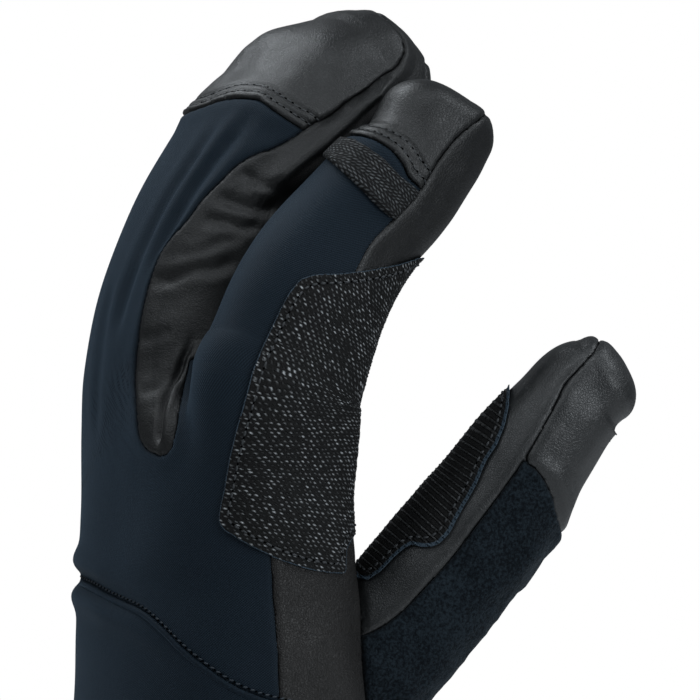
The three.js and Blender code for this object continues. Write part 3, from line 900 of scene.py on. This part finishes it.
panel(
    "back_panel", softshell, roll=1.8, depth=1.0,
    folds=[waves(26, 0.7, 3), wrist_pinch, *(fold(*row) for row in BACK_FOLDS)],
)
panel(
    "cuff_panel", softshell, roll=1.8, depth=1.0, folds=[waves(24, 0.6, 8), wrist_pinch],
    hem=True,
)

# The leather caps
# They are black grained leather over the tips of the mitt and the index finger. Their lower edges are turned
# under, stand a little proud and are held by two rows of topstitch.

# the seams that the topstitch follows, and the distances of its rows
MITT_CAP_ROWS = (["back_panel", "palm_panel"], (2.4, 5.2))
INDEX_CAP_ROWS = (["back_panel"], (2.7, 5.8))

grain_group, given, result = new_group("leather_grain", {"Cell": 0.9, "Creases": 0.5}, ["Height", "Tone"])
place = object_place(grain_group)
warp = noise_node(grain_group, place, 220.0, 2.0, output="Color")
reach = {0: warp, 1: (0.0022, 0.0022, 0.0022), 2: place}
bent = add(grain_group, "ShaderNodeVectorMath", reach, operation="MULTIPLY_ADD").outputs[0]
cells = {"Vector": bent, "Scale": maths(grain_group, "DIVIDE", 1000.0, given["Cell"])}
cells = add(grain_group, "ShaderNodeTexVoronoi", cells, feature="DISTANCE_TO_EDGE").outputs[0]
cells = stretched(grain_group, cells, 0.0, 0.2)
pores = noise_node(grain_group, place, 2600.0, 2.0)
wrinkle = maths(grain_group, "SUBTRACT", noise_node(grain_group, bent, 150.0, 4.0, 0.6), 0.5)
wrinkle = stretched(grain_group, maths(grain_group, "ABSOLUTE", wrinkle), 0.0, 0.05)
wrinkle = maths(grain_group, "MULTIPLY", wrinkle, given["Creases"])
cloud = noise_node(grain_group, place, 45.0, 4.0, 0.6)
feed(grain_group, result, {
    "Height": summed(grain_group, (cells, 0.5), (pores, 0.35), (wrinkle, 1)),
    "Tone": summed(grain_group, (cloud, 0.7), (cells, 0.3)),
})


def leather_finish(name, dark, light, roughness, creases, depth, specular, cell=0.8, crumple=0.0):
    """Grained leather. Crumple adds bumps that run across the finger."""
    material, tree, shader = finish(name)
    grain = grouped(tree, grain_group, Cell=cell, Creases=creases)
    colour = blended(tree, stretched(tree, grain["Tone"], 0.3, 0.8), dark, light)
    feed(tree, shader, {
        # the base colour carries painted shade along the seams
        "Base Color": with_painted_seam_shade(tree, colour, 0.6),
        "Roughness": stretched(tree, grain["Tone"], 0.25, 0.85, roughness + 0.1, roughness - 0.06),
        "Specular IOR Level": specular,
    })
    lay = {0: cloth_map(tree), 1: (150, 520, 0)}
    lay = add(tree, "ShaderNodeVectorMath", lay, operation="MULTIPLY").outputs[0]
    height = summed(tree, (grain["Height"], 1), (noise_node(tree, lay, 1.0, 3.0, 0.6), crumple))
    raise_bumps(tree, shader, height, depth, 0.16)
    return material


cap_leather = leather_finish(
    "cap_leather", dark=(0.0036, 0.0041, 0.0044), light=(0.0080, 0.0088, 0.0092),
    roughness=0.36, creases=0.25, depth=0.55, specular=0.4,
)
mitt_cap = panel(
    "mitt_cap", cap_leather, proud=0.6, roll=1.8, depth=1.2, fine=7.5,
    folds=[waves(17, 0.9, 5), waves(6, 0.2, 3)], rows=MITT_CAP_ROWS,
)
index_cap = panel(
    "index_cap", cap_leather, proud=0.8, roll=1.6, depth=1.1, fine=7.5, folds=[waves(14, 0.5, 11)],
    rows=INDEX_CAP_ROWS,
)

# The finger gusset
# It is a wall of softer leather between the mitt and the index finger. It folds deeply at the finger's root,
# because it is cut long enough for the finger to bend away.

GUSSET_FOLDS = [
    ([(-19, 160), (-13, 160.5), (-7, 163), (0, 163.5), (6, 166)], 0.9, 1.9),
    ([(-12, 167), (-5, 168), (2, 171), (8, 172)], 0.5, 1.6),
    ([(-5, 177.5), (2, 176.5), (8, 175), (13, 176)], 0.8, 1.7),
    ([(0, 184), (6, 181.5), (13, 180), (18, 181)], 1.0, 1.8),
    ([(7, 191), (11.1, 188), (17, 185)], 0.7, 1.5),
    ([(-23, 143), (-18, 144), (-13, 146)], 0.4, 1.6),
    ([(-22, 128), (-17, 130), (-12, 134)], 0.4, 1.8),
    # the leather is rolled over the root of the index finger, and beside it along the mitt's cap
    (
        [(-15.9, 114), (-16.2, 117), (-15.9, 121.6), (-15, 126.5), (-12.4, 131), (-9.6, 136.7), (-7.2, 143)],
        2.4, 1.3, 0.0,
    ),
    ([(-15.5, 113), (-13.9, 116.7), (-13.2, 121.6), (-12.1, 126.5), (-10.4, 131.5)], -1.5, 1.6, 0.0),
    (
        [(11, 183), (17, 188.3), (22.8, 193.2), (28.5, 197.7), (34.2, 203.2), (39.9, 208.6), (45.6, 213.8),
         (51, 218)],
        -4.6, 3.6, 0.0,
    ),
]
gusset_leather = leather_finish(
    "gusset_leather", dark=(0.0034, 0.0039, 0.0042), light=(0.0078, 0.0085, 0.0088),
    roughness=0.4, creases=0.25, depth=0.5, specular=0.34, crumple=1.5,
)
panel(
    "finger_gusset", gusset_leather, roll=1.7, depth=1.0, fine=60,
    folds=[waves(9, 0.35, 2), *(fold(*row) for row in GUSSET_FOLDS)],
)

# The palm, the side and the index finger's palm side
# These are plain leather, finer in grain than the caps, sewn to the softshell along the side seams.

side_leather = leather_finish(
    "side_leather", dark=(0.0070, 0.0066, 0.0063), light=(0.0165, 0.0154, 0.0146),
    roughness=0.45, creases=0.5, depth=1.5, specular=0.35,
)
palm_leather = leather_finish(
    "palm_leather", dark=(0.0110, 0.0112, 0.0112), light=(0.0190, 0.0190, 0.0185),
    roughness=0.55, creases=0.4, depth=0.5, specular=0.4,
)
panel("palm_panel", palm_leather, folds=[waves(22, 0.6, 1)])
panel("side_panel", side_leather, roll=3.5, depth=1.5, folds=[waves(18, 0.8, 4)])
panel("index_palm", cap_leather, roll=2.0, folds=[waves(9, 0.5, 6)])

# The thumb
# It is a leather tube with a cap at its tip and a suede panel along its outer side, to wipe the face with.

# the leather is drawn in where the suede ends
THUMB_DRAWN_IN = ([(91, 104), (94.5, 99), (96.5, 94), (98, 88)], 1.5, 2.6)
thumb_leather = leather_finish(
    "thumb_leather", dark=(0.0090, 0.0100, 0.0106), light=(0.0170, 0.0186, 0.0194),
    roughness=0.32, creases=0.2, depth=0.5, specular=0.55, cell=0.7,
)
suede, tree, shader = finish("suede_blue_black")
place = object_place(tree)
nap = noise_node(tree, place, 1100.0, 4.0, 0.7)
mottle = summed(tree, (nap, 0.8), (noise_node(tree, place, 90.0), 0.2))
mottle = stretched(tree, mottle, 0.38, 0.66)
colour = blended(tree, mottle, (0.0022, 0.0040, 0.0060), (0.0170, 0.0255, 0.0330))
feed(tree, shader, {
    # the base colour carries painted shade along the seams
    "Base Color": with_painted_seam_shade(tree, colour, 0.8),
    "Roughness": 0.95,
    "Specular IOR Level": 0.12,
    "Sheen Weight": 0.12,
    "Sheen Roughness": 0.35,
    "Sheen Tint": (0.6, 0.7, 0.8),
})
raise_bumps(tree, shader, nap, 0.9, 0.5)

panel("thumb_wall", thumb_leather, roll=3.2, depth=1.4, fine=5, folds=[waves(14, 0.4, 7)])
panel(
    "thumb_tip", thumb_leather, roll=3.4, depth=1.5, fine=6,
    folds=[waves(9, 0.4, 9), fold(*THUMB_DRAWN_IN)],
)
panel(
    "thumb_back", suede, roll=1.6, depth=1.0, fine=4, folds=[waves(8, 0.9, 10), waves(2.6, 0.4, 4)],
)

# The knurled patches
# One is stitched over the index finger's side and the hand, the other over the thumb's inner face. They are
# moulded grip rubber on cloth, with rows of slanted pips or ribs. Their cut edges show the blue-grey cloth.

GRIP_OUTLINE = [
    (62, 166.4), (57.5, 166), (51.8, 164.1), (43.4, 162.3), (35, 161.3), (28, 161), (23.9, 159.7),
    (20.6, 155.5), (17.3, 148.9), (13.4, 140.6), (10.7, 133.9), (8.8, 126.2), (6.3, 117.9),
    (4.3, 109.6), (2.9, 101.3), (1.5, 94.4), (1.6, 91.6), (4.1, 89.4), (10.2, 85.9), (18.4, 81.9),
    (26.7, 79), (32.2, 78), (36.6, 77.6), (36.8, 84.4), (41.5, 92), (52, 110), (66, 140), (76, 166),
]
THUMB_PATCH_OUTLINE = [
    (37.7, 84.6), (37.6, 79.5), (39.5, 75.6), (42.9, 75), (46.2, 77.3), (50.5, 81.8), (54.4, 85.2),
    (58.6, 84.4), (62.5, 85), (65.9, 88.5), (68.2, 93), (71, 97.8), (73.8, 102.8), (75.8, 108.2),
    (79.2, 113.2), (81.5, 118.8), (82.8, 124.5), (83.2, 130), (78, 135), (62, 130), (46, 98),
    (42, 91.5),
]
PIP_PITCH, PIP_ROW = 1.8, 1.15
PIP_SIZE = (0.85, 0.55)
PIP_HEIGHT = 0.35
PIP_SLANT, PIP_UNEVENNESS = -0.4, 0.6
RIB_PITCH, RIB_HEIGHT = 2.07, 0.6
PATCH_EDGE, PATCH_STITCH = 1.6, 2.6
OVERLAY_BASE = 0.1


def connected(bm):
    """The faces of each connected part, the largest first."""
    left, parts = dict.fromkeys(bm.faces), []
    while left:
        part, queue = [], [left.popitem()[0]]
        while queue:
            face = queue.pop()
            part.append(face)
            for other in (other for edge in face.edges for other in edge.link_faces):
                if other in left:
                    del left[other]
                    queue.append(other)
        parts.append(part)
    return sorted(parts, key=len, reverse=True)


def overlay(zone, tubes, cuts):
    """The part of the skin in a zone, as one open sheet of smaller faces."""
    bm = skin.copy()
    keep_faces(bm, "tube", tubes)
    taken = len(PANELS) + 1
    take(bm, taken, zone, set(bm.faces))
    keep_faces(bm, "panel", {taken})
    for part in connected(bm)[1:]:
        bmesh.ops.delete(bm, geom=part, context="FACES")
    for _ in range(cuts):
        bmesh.ops.subdivide_edges(bm, edges=bm.edges[:], cuts=1, use_grid_fill=True)
    return bm


def outline_of(bm):
    """Points along the edge of an open sheet."""
    return along_edges([edge for edge in bm.edges if edge.is_boundary])


def pips(places):
    """Rows of slanted ovals, each offset by half from the next row: 1 on top of an oval, 0 between them."""
    height = np.zeros(len(places))
    row = np.floor(places[:, 1] / PIP_ROW)
    for k in (row, row + 1):
        shift = np.where(k % 2 == 0, 0, 0.5)
        j = np.round(places[:, 0] / PIP_PITCH - shift)
        dx = places[:, 0] - (j + shift) * PIP_PITCH
        dy = places[:, 1] - k * PIP_ROW
        # a number between 0 and 1 that is each oval's own turns it and sinks it a little
        chance = np.modf(np.abs(np.sin(j * 12.9898 + k * 78.233) * 43758.5453))[0]
        turn = PIP_SLANT + PIP_UNEVENNESS * (chance - 0.5)
        a = (dx * np.cos(turn) + dy * np.sin(turn)) / PIP_SIZE[0]
        b = (-dx * np.sin(turn) + dy * np.cos(turn)) / PIP_SIZE[1]
        top = 1 - PIP_UNEVENNESS * 0.6 * np.modf(chance * 7.3)[0]
        height = np.maximum(height, top * np.clip(1 - (a * a + b * b) ** 1.3, 0, 1))
    return height


def patch(name, zone, tubes, material, ribbed=False):
    """A moulded patch as a piece that replaces its node, with its cut edge. The pip patch also gets the groove
    of its stitches, and the ribbed one a raised edge.
    """
    bm = overlay(zone, tubes, 2 if ribbed else 1)
    edge = outline_of(bm)
    if not ribbed:
        refine(bm, edge, PATCH_EDGE)
    distance = distances(bm, edge)
    height = lifts(bm)
    lies_on = THUMB_TUBE if ribbed else INDEX_TUBE
    lie = cloth_place(coordinates(bm.verts) / MM, lies_on)
    if ribbed:
        ribs = RIB_HEIGHT * (0.5 + 0.5 * np.cos(lie[:, 1] * 2 * math.pi / RIB_PITCH))
        height += 0.5 + ribs * np.clip(distance / 1.2 - 0.5, 0, 1) + 0.7 * bell(distance, 0.9)
    else:
        height += 0.8 + PIP_HEIGHT * pips(lie) * ramp(distance, 0, 0.5)
        height -= 0.4 * bell(distance - PATCH_STITCH, 0.7)
    layered(bm, height, OVERLAY_BASE, distance)
    lies = {number: lies_on for number in tubes}
    piece = finish_piece(name + "_moulded", bm, [material, cut_edge], name, lies, RIM)
    return piece


def cells_with_painted_glints(tree, column, row, unevenness, low, dimmest_glint):
    """Cells in rows, such as pips or yarns: how far each rises, and its painted highlight, which is brightest
    on its top and dark between cells, with some cells painted brighter than others.
    """
    place = add(tree, "ShaderNodeCombineXYZ", {0: column, 1: row}).outputs[0]
    cells = {"Vector": place, "Scale": 1.0, "Randomness": unevenness}
    cells = add(tree, "ShaderNodeTexVoronoi", cells).outputs
    relief = stretched(tree, cells["Distance"], low, 0.5, 1.0, 0.0)
    chance = add(tree, "ShaderNodeSeparateXYZ", {0: cells["Color"]}).outputs[0]
    return relief, maths(tree, "MULTIPLY", relief, stretched(tree, chance, 0.0, 1.0, dimmest_glint, 1.0))


def knurled(name, band, light, ribbed=False):
    """Moulded rubber with rows of pips or ribs. Their tops are painted lighter as highlights, and the hollows
    between them near black as painted shade. In the band along its cut edge the blue-grey cloth shows.
    """
    material, tree, shader = finish(name)
    parts = cloth_parts(tree)
    rough = noise_node(tree, object_place(tree), 1100.0)
    if ribbed:
        wave = maths(tree, "COSINE", maths(tree, "MULTIPLY", parts[1], 2 * math.pi / RIB_PITCH))
        relief = stretched(tree, wave, -0.2, 1.0)
        tone = maths(tree, "MULTIPLY", relief, stretched(tree, rough, 0.3, 0.7, 0.3, 1.0))
    else:
        row = maths(tree, "DIVIDE", parts[1], PIP_ROW)
        column = summed(tree, (maths(tree, "DIVIDE", parts[0], PIP_PITCH), 1), (row, -0.5))
        relief, tone = cells_with_painted_glints(tree, column, row, 0.35, 0.1, 0.5)
    # painted highlight and shade: tone is high on each pip's or rib's top and nought between them, and it sets
    # the rubber's colour from near black up to the light given
    tone = maths(tree, "POWER", tone, 2.2)
    rubber_with_painted_glints = blended(tree, tone, (0.0006, 0.0007, 0.0008), (light, 1.05 * light, 1.08 * light))
    cloth = blended(tree, rough, (0.014, 0.025, 0.038), (0.050, 0.078, 0.105))
    seen = stretched(tree, seam_attribute(tree), band * 0.7, band, 1.0, 0.0)
    feed(tree, shader, {
        "Base Color": blended(tree, seen, rubber_with_painted_glints, cloth),
        "Roughness": stretched(tree, tone, 0.05, 0.4, 0.75, 0.3),
        "Specular IOR Level": 0.25,
    })
    raise_bumps(tree, shader, summed(tree, (relief, 1), (rough, 0.4)), 1.0, 0.8)
    return material


def fibre_finish(name, dark, light, scale, roughness, strength, distance):
    """Fine fibres between two colours."""
    material, tree, shader = finish(name)
    fibre = noise_node(tree, object_place(tree), scale)
    feed(tree, shader, {"Base Color": blended(tree, fibre, dark, light), "Roughness": roughness})
    raise_bumps(tree, shader, fibre, strength, distance)
    return material


# light is the colour painted on the pip and rib tops as their highlight
grip_rubber = knurled("knurled_grip", band=0.35, light=0.36)
thumb_rubber = knurled("ribbed_grip", band=1.25, light=0.035, ribbed=True)
cut_edge = fibre_finish(
    "cut_edge_blue", (0.018, 0.030, 0.044), (0.050, 0.075, 0.100), 1500.0, 0.95, strength=0.8, distance=0.3
)

GRIP_ZONE = both(polygon_zone(GRIP_OUTLINE, ACROSS), between_x(CLEFT_X + 0.3, FAR))
THUMB_ZONE = polygon_zone(THUMB_PATCH_OUTLINE, ACROSS)
grip_patch = patch("grip_patch", GRIP_ZONE, HAND_AND_INDEX, grip_rubber)
thumb_patch = patch("thumb_patch", THUMB_ZONE, {THUMB_TUBE}, thumb_rubber, ribbed=True)

# The finger loop
# It is a band of woven webbing across the back of the index finger, sewn in at the side seam and the gusset.

LOOP_OUTLINE = [
    (31.5, 200.2), (35.2, 200.2), (39.2, 199.2), (43.4, 196.5), (47.6, 193.3), (51.8, 188.8),
    (57.4, 184.4), (66, 176), (58, 168), (49.8, 176.3), (44.8, 180.8), (39.2, 186.5), (33.6, 191.7),
    (29.5, 195.2), (27, 197.6),
]
YARN_PITCH, YARN_ROW, CHEVRON = 1.7, 0.9, 5.4

webbing, tree, shader = finish("woven_webbing")
parts = cloth_parts(tree)
side = maths(tree, "PINGPONG", parts[1], CHEVRON / 2)
column = summed(tree, (maths(tree, "DIVIDE", parts[0], YARN_PITCH), 1), (side, 0.9))
yarn, tone = cells_with_painted_glints(tree, column, maths(tree, "DIVIDE", parts[1], YARN_ROW), 0.2, 0.15, 0.35)
# painted highlight and shade: each yarn's top is coloured lighter, and the gaps between yarns near black
feed(tree, shader, {
    "Base Color": blended(tree, tone, (0.0003, 0.0004, 0.0005), (0.0800, 0.0860, 0.0900)),
    "Roughness": stretched(tree, tone, 0.1, 0.8, 0.8, 0.4),
    "Specular IOR Level": 0.25,
})
raise_bumps(tree, shader, yarn, 1.0, 0.35)

loop_zone = both(polygon_zone(LOOP_OUTLINE, ACROSS), between_x(CLEFT_X + 1, FAR), beside(SIDE_SEAM, "left"))
bm = overlay(loop_zone, {INDEX_TUBE}, 1)
distance = distances(bm, outline_of(bm))
layered(bm, 0.2 + ramp(distance, 0, 0.8) ** 0.5, OVERLAY_BASE, distance)
lies = {INDEX_TUBE: INDEX_TUBE}
finger_loop = finish_piece("finger_loop_woven", bm, [webbing], "finger_loop", lies)

# The wrist piping
# A folded edge of softshell makes a low welt under the wrist seam, and slanted stitches run along it.

PIPING_RADIUS, PIPING_SUNK = 0.85, 0.5
PIPING_STEP = 0.8
# how far past the seam, and up to which x, the piping and its stitches lie
PIPING_LINE, PIPING_STITCHES = (-1.2, -52), (0.9, -50)
UNSHADED = 5.0


def resampled(points, step):
    """Points at even steps along a line, with the direction at each."""
    lengths = line_lengths(points)
    count = max(2, int(round(lengths[-1] / step)))
    places = np.linspace(0, lengths[-1], count + 1)
    even = np.stack([np.interp(places, lengths, points[:, k]) for k in range(3)], axis=1)
    ahead = np.gradient(even, axis=0)
    return even, ahead / np.linalg.norm(ahead, axis=1)[:, None]


def beside_wrist(shift, end):
    """Points and normals on the skin along the wrist seam, moved up from it and cut off at an x."""
    points, normals = on_skin([(across, up + shift) for across, up in WRIST_SEAM[:-1]], 12)
    kept = points[:, 0] > end
    return points[kept], normals[kept]


def piping_ring(point, go):
    turn = Vector(go).to_track_quat("Z", "Y")
    return lambda corner: turn @ corner + Vector(point * MM)


points, normals = beside_wrist(*PIPING_LINE)
path = resampled(points - normals * PIPING_SUNK, PIPING_STEP)
piping = bmesh.new()
bridge_rings(piping, [piping_ring(point, go) for point, go in zip(*path)], 10, PIPING_RADIUS * MM)
seam_value = piping.verts.layers.float.new("seam")
for vert in piping.verts:
    vert[seam_value] = UNSHADED
finish_piece("wrist_piping_sewn", piping, [softshell], "wrist_piping")

# The topstitching
# It is black thread on the leather and navy thread on the piping, in short stitches that are sunk into the
# grooves that they pull. Between each two stitches is a needle hole, drawn as a matte black dimple of painted
# shade.

INDEX_SIDE_ROWS = (["finger_gusset"], (2.2,))
HOLE_WIDTH, HOLE_DEPTH, HOLE_OVERLAP = 0.6, 0.3, 0.25

black_thread = fibre_finish(
    "thread_black", (0.010, 0.012, 0.014), (0.030, 0.034, 0.038), 3000.0, 0.5, strength=0.4, distance=0.1
)
navy_thread = fibre_finish(
    "thread_navy", (0.006, 0.011, 0.017), (0.016, 0.026, 0.038), 3000.0, 0.5, strength=0.4, distance=0.1
)
# painted shade: each needle hole is a black, matte dimple that stands for the shade inside the hole
hole_shade, tree, shader = finish("needle_hole_shade")
feed(tree, shader, {"Base Color": (0.0008, 0.0009, 0.001), "Roughness": 1.0, "Specular IOR Level": 0.0})


def lines_at(bm, points, offset):
    """The lines on an open sheet, which is used up, that lie at a distance from the nearest of the points."""
    bm.verts.index_update()
    bm.edges.index_update()
    value = distances(bm, points) - offset
    crossings, links = {}, {}
    for face in bm.faces:
        found = []
        for edge in face.edges:
            a, b = edge.verts
            va, vb = value[a.index], value[b.index]
            if (va < 0) != (vb < 0):
                crossings[edge.index] = np.array(a.co.lerp(b.co, va / (va - vb))) / MM
                found.append(edge.index)
        if len(found) == 2:
            links.setdefault(found[0], []).append(found[1])
            links.setdefault(found[1], []).append(found[0])
    bm.free()
    left, lines = set(links), []
    while left:
        ends = [key for key in left if len(links[key]) == 1]
        key = ends[0] if ends else next(iter(left))
        line = []
        while key is not None:
            left.discard(key)
            line.append(crossings[key])
            key = next((other for other in links[key] if other in left), None)
        if len(line) > 4:
            lines.append(np.array(line))
    return lines


def stitches(bm, line, tree, pitch=2.6, length=1.8, thickness=0.62, slant=0.0, sunk=0.08):
    """Adds stitches along a line on a surface, and the holes between them, as black dimples of painted shade.
    """
    for _ in range(3):
        line[1:-1] = (line[:-2] + 2 * line[1:-1] + line[2:]) / 4
    points, ahead = resampled(line, pitch / 2)
    for k, (point, go) in enumerate(zip(points, ahead)):
        place, up, _, _ = tree.find_nearest(Vector(point * MM))
        go = Vector(go)
        side = up.cross(go).normalized()
        go = (side.cross(up) * math.cos(slant) + side * math.sin(slant)).normalized()
        turn = Matrix((go.cross(up), go, up)).transposed().to_4x4()
        if k % 2:
            target, size, sink = holes, (HOLE_WIDTH, pitch - length + HOLE_OVERLAP, HOLE_DEPTH), 0.0
        else:
            target, size, sink = bm, (thickness, length, thickness), sunk
        shape = Matrix.Diagonal((*(value / 2 * MM for value in size), 1))
        spot = Matrix.Translation(place - up * sink * MM)
        bmesh.ops.create_uvsphere(target, u_segments=6, v_segments=5, radius=1, matrix=spot @ turn @ shape)


def surface_of(piece):
    """A piece's surface, to find places on."""
    surface = bmesh.new()
    surface.from_mesh(piece.data)
    tree = BVHTree.FromBMesh(surface)
    surface.free()
    return tree


# holes gathers the needle holes, black dimples of painted shade
holes = bmesh.new()
sewn = bmesh.new()
for piece, name, (neighbours, offsets) in (
    (mitt_cap, "mitt_cap", MITT_CAP_ROWS),
    (index_cap, "index_cap", INDEX_CAP_ROWS),
    (index_cap, "index_cap", INDEX_SIDE_ROWS),
):
    surface = surface_of(piece)
    for offset in offsets:
        for line in lines_at(panel_sheet(name), border(name, neighbours), offset):
            stitches(sewn, line, surface)
finish_piece("cap_topstitch", sewn, [black_thread])

sewn = bmesh.new()
for piece, zone, tubes in ((grip_patch, GRIP_ZONE, HAND_AND_INDEX), (thumb_patch, THUMB_ZONE, {THUMB_TUBE})):
    surface = surface_of(piece)
    sheet = overlay(zone, tubes, 0)
    for line in lines_at(sheet, outline_of(sheet), PATCH_STITCH):
        stitches(sewn, line, surface, pitch=2.5, length=1.9, thickness=0.8, sunk=0.0)
finish_piece("patch_topstitch", sewn, [black_thread])

sewn = bmesh.new()
line, _ = beside_wrist(*PIPING_STITCHES)
stitches(sewn, line, skin_tree, pitch=2.2, length=1.7, thickness=0.6, slant=0.35, sunk=0.3)
finish_piece("wrist_topstitch", sewn, [navy_thread])
finish_piece("needle_holes", holes, [hole_shade])

# The stage
# A pale floor and a white background. Four small softboxes above and to the left draw the highlights, and two
# large ones light the mitten from the right.

FLOOR_RADIUS, FLOOR_Z = 0.55, -0.03
MIDDLE = Vector((0.02, 0.03, 0.13))
CAMERA_AIM, CAMERA_DISTANCE = Vector((0.0189, 0.0327, 0.140)), 1.5
LIGHT_COLOUR = (0.94, 1, 1.05)
# each softbox's place in metres from the middle as (across, towards, up), with its size and power
LIGHTS = {
    "key": ((-0.2, -0.15, 0.35), 0.24, 0.7),
    "left": ((-0.25, 0.24, 0.3), 0.36, 0.5),
    "upper": ((0.1, 0.3, 0.32), 0.3, 0.18),
    "crown": ((0, 0.15, 0.38), 0.22, 0.25),
    "right": ((1.0, 1.0, 0.3), 0.8, 7),
    "right_top": ((1.0, 0, 1.1), 0.8, 6),
}

disc = bmesh.new()
bmesh.ops.create_circle(disc, cap_ends=True, segments=96, radius=FLOOR_RADIUS)
floor = mesh_object("floor", disc)
floor.location.z = FLOOR_Z
paper, tree, shader = finish("pale_floor")
feed(tree, shader, {"Base Color": (0.8, 0.8, 0.8), "Roughness": 0.9})
floor.data.materials.append(paper)

camera = placed("camera", bpy.data.cameras.new("camera"))
assign(camera.data, sensor_width=36, lens=270, clip_end=20)
camera.location = CAMERA_AIM + Vector(TOWARDS) * CAMERA_DISTANCE
camera.rotation_euler = Vector(TOWARDS).to_track_quat("Z", "Y").to_euler()
bpy.context.scene.camera = camera

# the camera sees white paper, and the mitten is lit by a dimmer room
world = bpy.data.worlds.new("studio")
world.use_nodes = True
tree = world.node_tree
seen = add(tree, "ShaderNodeLightPath").outputs["Is Camera Ray"]
feed(tree, tree.nodes["Background"].inputs, {"Color": blended(tree, seen, (0.14, 0.15, 0.16), (1, 1, 1))})
bpy.context.scene.world = world

for name, ((across, towards, up), size, power) in LIGHTS.items():
    lamp = assign(bpy.data.lights.new(name, "AREA"), size=size, energy=power, color=LIGHT_COLOUR)
    light = placed(name, lamp)
    light.location = MIDDLE + Vector(ACROSS * across + TOWARDS * towards + UP * up)
    light.rotation_euler = (light.location - MIDDLE).to_track_quat("Z", "Y").to_euler()
bpy.context.scene.view_settings.view_transform = "Standard"
